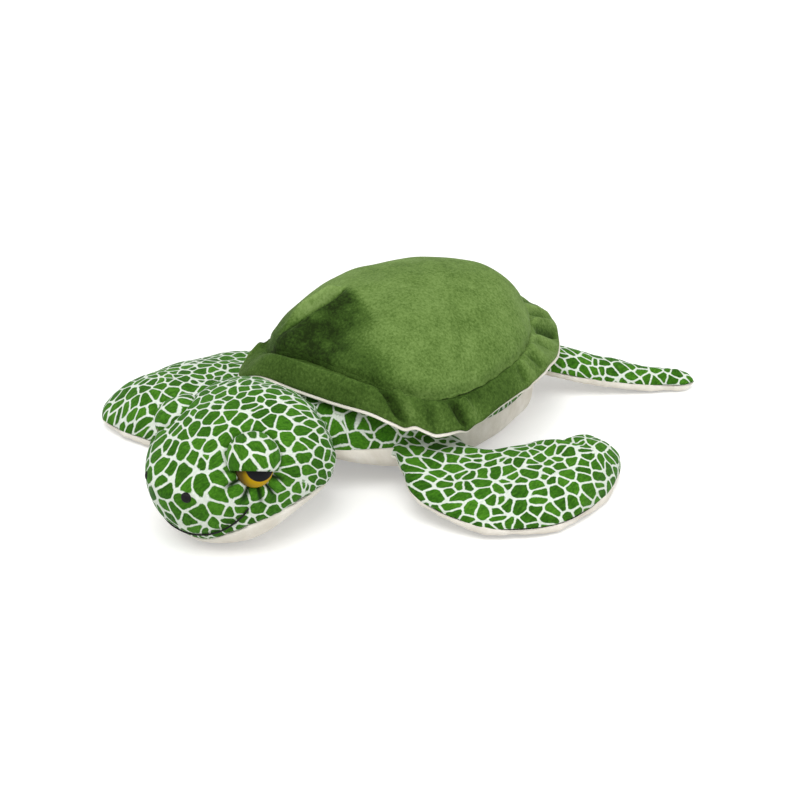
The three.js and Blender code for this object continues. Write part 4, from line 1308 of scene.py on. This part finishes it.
# Flippers: each is a printed top and a cream underside, sewn face to face, turned, stuffed and sewn to the
# torso's side. The front ones are broad paddles, one swept back and one forward, and the rear ones slender.
front_flipper = {
    "root": (72.135, -44.5, 32),
    "length": 150,
    "half_width": 60,
    "heights": (33, 9),
    "rise": [0.5, 0.58, 0.74, 0.92, 0.95, 0.84, 0.55],
    "fall": 0.5,
}
rear_width_shares = [0.8, 0.95, 1, 0.9, 0.74, 0.54, 0.38]
rear_flipper = {
    "root": (38.92, 131.39, 34),
    "length": 148,
    "half_width": 20,
    "heights": (13.5, 7),
    "trail": rear_width_shares,
    "lead": rear_width_shares,
    "rise": [0.6, 0.9, 1, 0.92, 0.8, 0.7, 0.6],
    "fall": 0.95,
    "tip_round": 0.1,
    "tip_power": 2,
    "sweeps": (34, 34),
}
front_left_flipper = {
    "side": 1,
    "heights": (31, 9),
    "trail": [0.43, 0.42, 0.14, 0.38, 0.53, 0.6, 0.77],
    "lead": [0.45, 1.04, 1.19, 1.17, 0.97, 0.52, 0.14],
    "rise": [0.5, 0.58, 0.74, 0.92, 0.91, 0.99, 0.94],
    "sweeps": (6.5, 65),
    "crease": ((139, 19), (168, 16)),
    "tip_round": 0.2,
    "tip_power": 2.4,
}
front_right_flipper = {
    "side": -1,
    "trail": [1.34, 1.58, 1.68, 1.46, 1.02, 0.66, 0.6],
    "lead": [0.57, 0.88, 1.1, 1.14, 0.98, 0.68, 0.5],
    "sweeps": (-12.5, -53.5),
    "tip_round": 0.23,
    "tip_power": 2,
}
flippers = {
    "front_left": {**front_flipper, **front_left_flipper},
    "front_right": {**front_flipper, **front_right_flipper},
    "rear_left": {**rear_flipper, "side": 1},
    "rear_right": {**rear_flipper, "side": -1},
}
flipper_tuck = 16
flipper_drop_shares = [0.4, 0.7, 1, 1, 1, 1, 1]
flipper_powers = (1.0, 0.4)
flipper_fall_power = 1.5
root_start = -24
root_depth = 2.0
root_bend = (6, 30)


def swept_spine(sizes, length):
    """A line that leaves the torso at one heading, bends evenly to another and comes down to the floor."""
    heading, tip_heading = np.radians(sizes["sweeps"])
    side = sizes["side"]
    bend = (tip_heading - heading) / length
    root_x = sizes["root"][0] - flipper_tuck * math.cos(heading)
    root_y = sizes["root"][1] - flipper_tuck * math.sin(heading)
    low = sizes["heights"][1] - rest_depth

    def spine_at(distance):
        turn = heading + bend * distance
        chord = distance if bend == 0 else 2 / bend * np.sin(bend * distance / 2)
        middle = (heading + turn) / 2
        left = np.clip(1 - distance / (sizes["fall"] * length), 0, 1)
        x = side * (root_x + chord * np.cos(middle))
        y = root_y + chord * np.sin(middle)
        z = low + (sizes["root"][2] - low) * left**flipper_fall_power
        return stacked(x, y, z), stacked(-side * np.sin(turn), np.cos(turn), 0)

    return spine_at


def inside_torso(points, depth):
    """True where a point is deeper than depth inside the torso's form, from its section's powered ellipse."""
    place = (points[..., 1] - torso_front) / torso_length
    ends = rounded(np.clip(place, 0, 1), torso_round_shares[0])
    ends = ends * rounded(np.clip(1 - place, 0, 1), torso_round_shares[1])
    wide = np.maximum(torso_half_width * through(torso_width_shares)(place) * ends - depth, 1)
    rise = torso_rise * through(torso_rise_shares)(place) * ends - depth
    drop = (torso_seam_height + rest_depth) * through(torso_drop_shares)(place) * ends - depth
    above = points[..., 2] - torso_seam_height
    high = np.maximum(np.where(above > 0, rise, drop), 1)
    power = 2 / np.where(above > 0, *torso_powers)
    up = np.abs(above) / high
    within = (np.abs(points[..., 0]) / wide) ** power + up**power < 1
    return within & (place > 0) & (place < 1)


def crease_relief(places, start, end):
    """A crease from the hind edge inward, with the cloth puffed up on its root's side: two bell curves."""
    run = unit(end - start)
    offset = places[:, :2] - start
    along, aside = offset @ run, offset @ np.array([run[1], -run[0]])
    held = eased(along, -40, -5) * eased(along, 46, 10)
    return held * (2.6 * bell(aside - 11, 8) - 3.4 * bell(aside, 3.2))


def flipper_half(name, sizes, is_top, seed):
    """The upper or under half of a flipper. Each line along it starts where it is just inside the torso."""
    length = sizes["length"] + flipper_tuck
    spine_at = swept_spine(sizes, length)
    point_at = stuffed_form(
        spine_at,
        length,
        sizes["half_width"],
        sizes["heights"],
        (sizes["trail"], sizes["lead"], sizes["rise"], flipper_drop_shares),
        (0, sizes["tip_round"]),
        flipper_powers,
        root_start,
        sizes["tip_power"],
    )
    rows, columns = 170, 97
    angle = (0 if is_top else math.pi) + half_turns(columns, flipper_powers[0 if is_top else 1])
    tries = np.linspace(0, 0.45, 180)[:, None]
    deep = inside_torso(point_at(tries, angle), root_depth)
    last = np.where(deep.any(0), len(tries) - 1 - np.argmax(deep[::-1], 0), 0)
    enter = tries[last, 0]
    place = enter + (1 - enter) * eased_steps(rows, False, True)[:, None]
    outer = point_at(place, angle)
    ridge = outer[:, columns // 2]
    distance = root_start + place[:, columns // 2] * (length - root_start)
    across = spine_at(distance)[1]
    around = run_of(outer, 1)
    around = around[:, columns // 2, None] - around
    flat = (ridge[:, None, :2] + around[..., None] * across[:, None, :2] * (1 if is_top else -1)) * 0.001
    kind = "_flipper_top_cloth" if is_top else "_flipper_underside_cloth"
    piece, edge, along, face = half_form(name + kind, outer, (False, True), flat)
    relief = seam_relief(edge, along, seed, groove=0.35, pucker=0.45, spacing=9)
    relief += 0.9 * lumps(places_of(piece), 42, seed) + 0.3 * lumps(places_of(piece), 17, seed + 1)
    if is_top and "crease" in sizes:
        relief += crease_relief(places_of(piece), *np.array(sizes["crease"], float))
    swell(piece, face * relief * eased(along, 0, 10))
    return piece


flipper_print = printed_pile("printed_velboa_flipper", cell=0.0098, vein=0.075)
for number, (name, sizes) in enumerate(flippers.items()):
    joint = joints[name + "_flipper_lift"]
    pivot = np.array(joint["pos_m"]) * 1000
    outward = np.array([-joint["axis"][1], joint["axis"][0], 0])
    start, end = pivot - root_bend[0] * outward, pivot + root_bend[1] * outward
    for is_top in (True, False):
        piece = flipper_half(name, sizes, is_top, 40 + 4 * number)
        move_to(piece, under_rim(places_of(piece), joint, start, end))
        piece.data.materials.append(flipper_print if is_top else cream_cloth)
        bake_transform(piece)
        if is_top:
            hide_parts(name + "_flipper_top", name + "_flipper_filling")
        else:
            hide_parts(name + "_flipper_underside")

# Studio: a white sweep under soft overhead light. The floor takes the turtle's shadow, and the camera
# sees it and the background as white.
scene = bpy.context.scene
scene.view_settings.view_transform = "Standard"
floor_mesh = bpy.data.meshes.new("floor")
floor_reach, floor_height, floor_glow = 6.0, -0.0004, 0.3
corners = [(floor_reach * x, floor_reach * y, floor_height) for x, y in ((-1, -1), (1, -1), (1, 1), (-1, 1))]
floor_mesh.from_pydata(corners, [], [(0, 1, 2, 3)])
floor = bpy.data.objects.new("floor", floor_mesh)
scene.collection.objects.link(floor)


def seen_at_once(material):
    """1 on rays from the camera, off a gloss or through glass, and 0 on all others."""
    rays = add_node(material, "LightPath").outputs
    seen = {0: rays["Is Camera Ray"], 1: rays["Is Glossy Ray"]}
    seen = add_node(material, "Math", seen, operation="MAXIMUM")
    return add_node(material, "Math", {0: seen, 1: rays["Is Transmission Ray"]}, operation="MAXIMUM")


paper = new_material("white_paper")
glow = add_node(paper, "Math", {0: seen_at_once(paper), 1: floor_glow}, operation="MULTIPLY")
glow = {"Emission Color": (1, 1, 1, 1), "Emission Strength": glow}
floor_mesh.materials.append(surfaced(paper, {"Base Color": "#e6e6e4", "Roughness": 0.95, **glow}))
floor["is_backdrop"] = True


def soft_lamp(name, turn, height, strength, spread):
    """A distant soft box: a lamp that shines evenly from one direction and looks as wide as spread."""
    lamp = bpy.data.lights.new(name, "SUN")
    lamp.energy = strength
    lamp.angle = math.radians(spread)
    light = bpy.data.objects.new(name, lamp)
    light.rotation_euler = (math.radians(90 - height), 0, math.radians(turn))
    scene.collection.objects.link(light)


soft_lamp("key_light", turn=20, height=66, strength=1.75, spread=40)
soft_lamp("fill_light", turn=100, height=35, strength=0.5, spread=60)
world_strength = 0.62
world = bpy.data.worlds.new("studio")
scene.world = world
world.use_nodes = True
world.node_tree.nodes.clear()
strength = add_node(world, "MapRange", {0: seen_at_once(world), 3: world_strength, 4: 1.0})
white = add_node(world, "Background", {"Strength": strength, "Color": (1, 1, 1, 1)})
add_node(world, "OutputWorld", {"Surface": white})

bpy.context.view_layer.update()
sizes = {"packed": [list(corner) for corner in packed_box], "dressed": [list(corner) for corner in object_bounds()]}
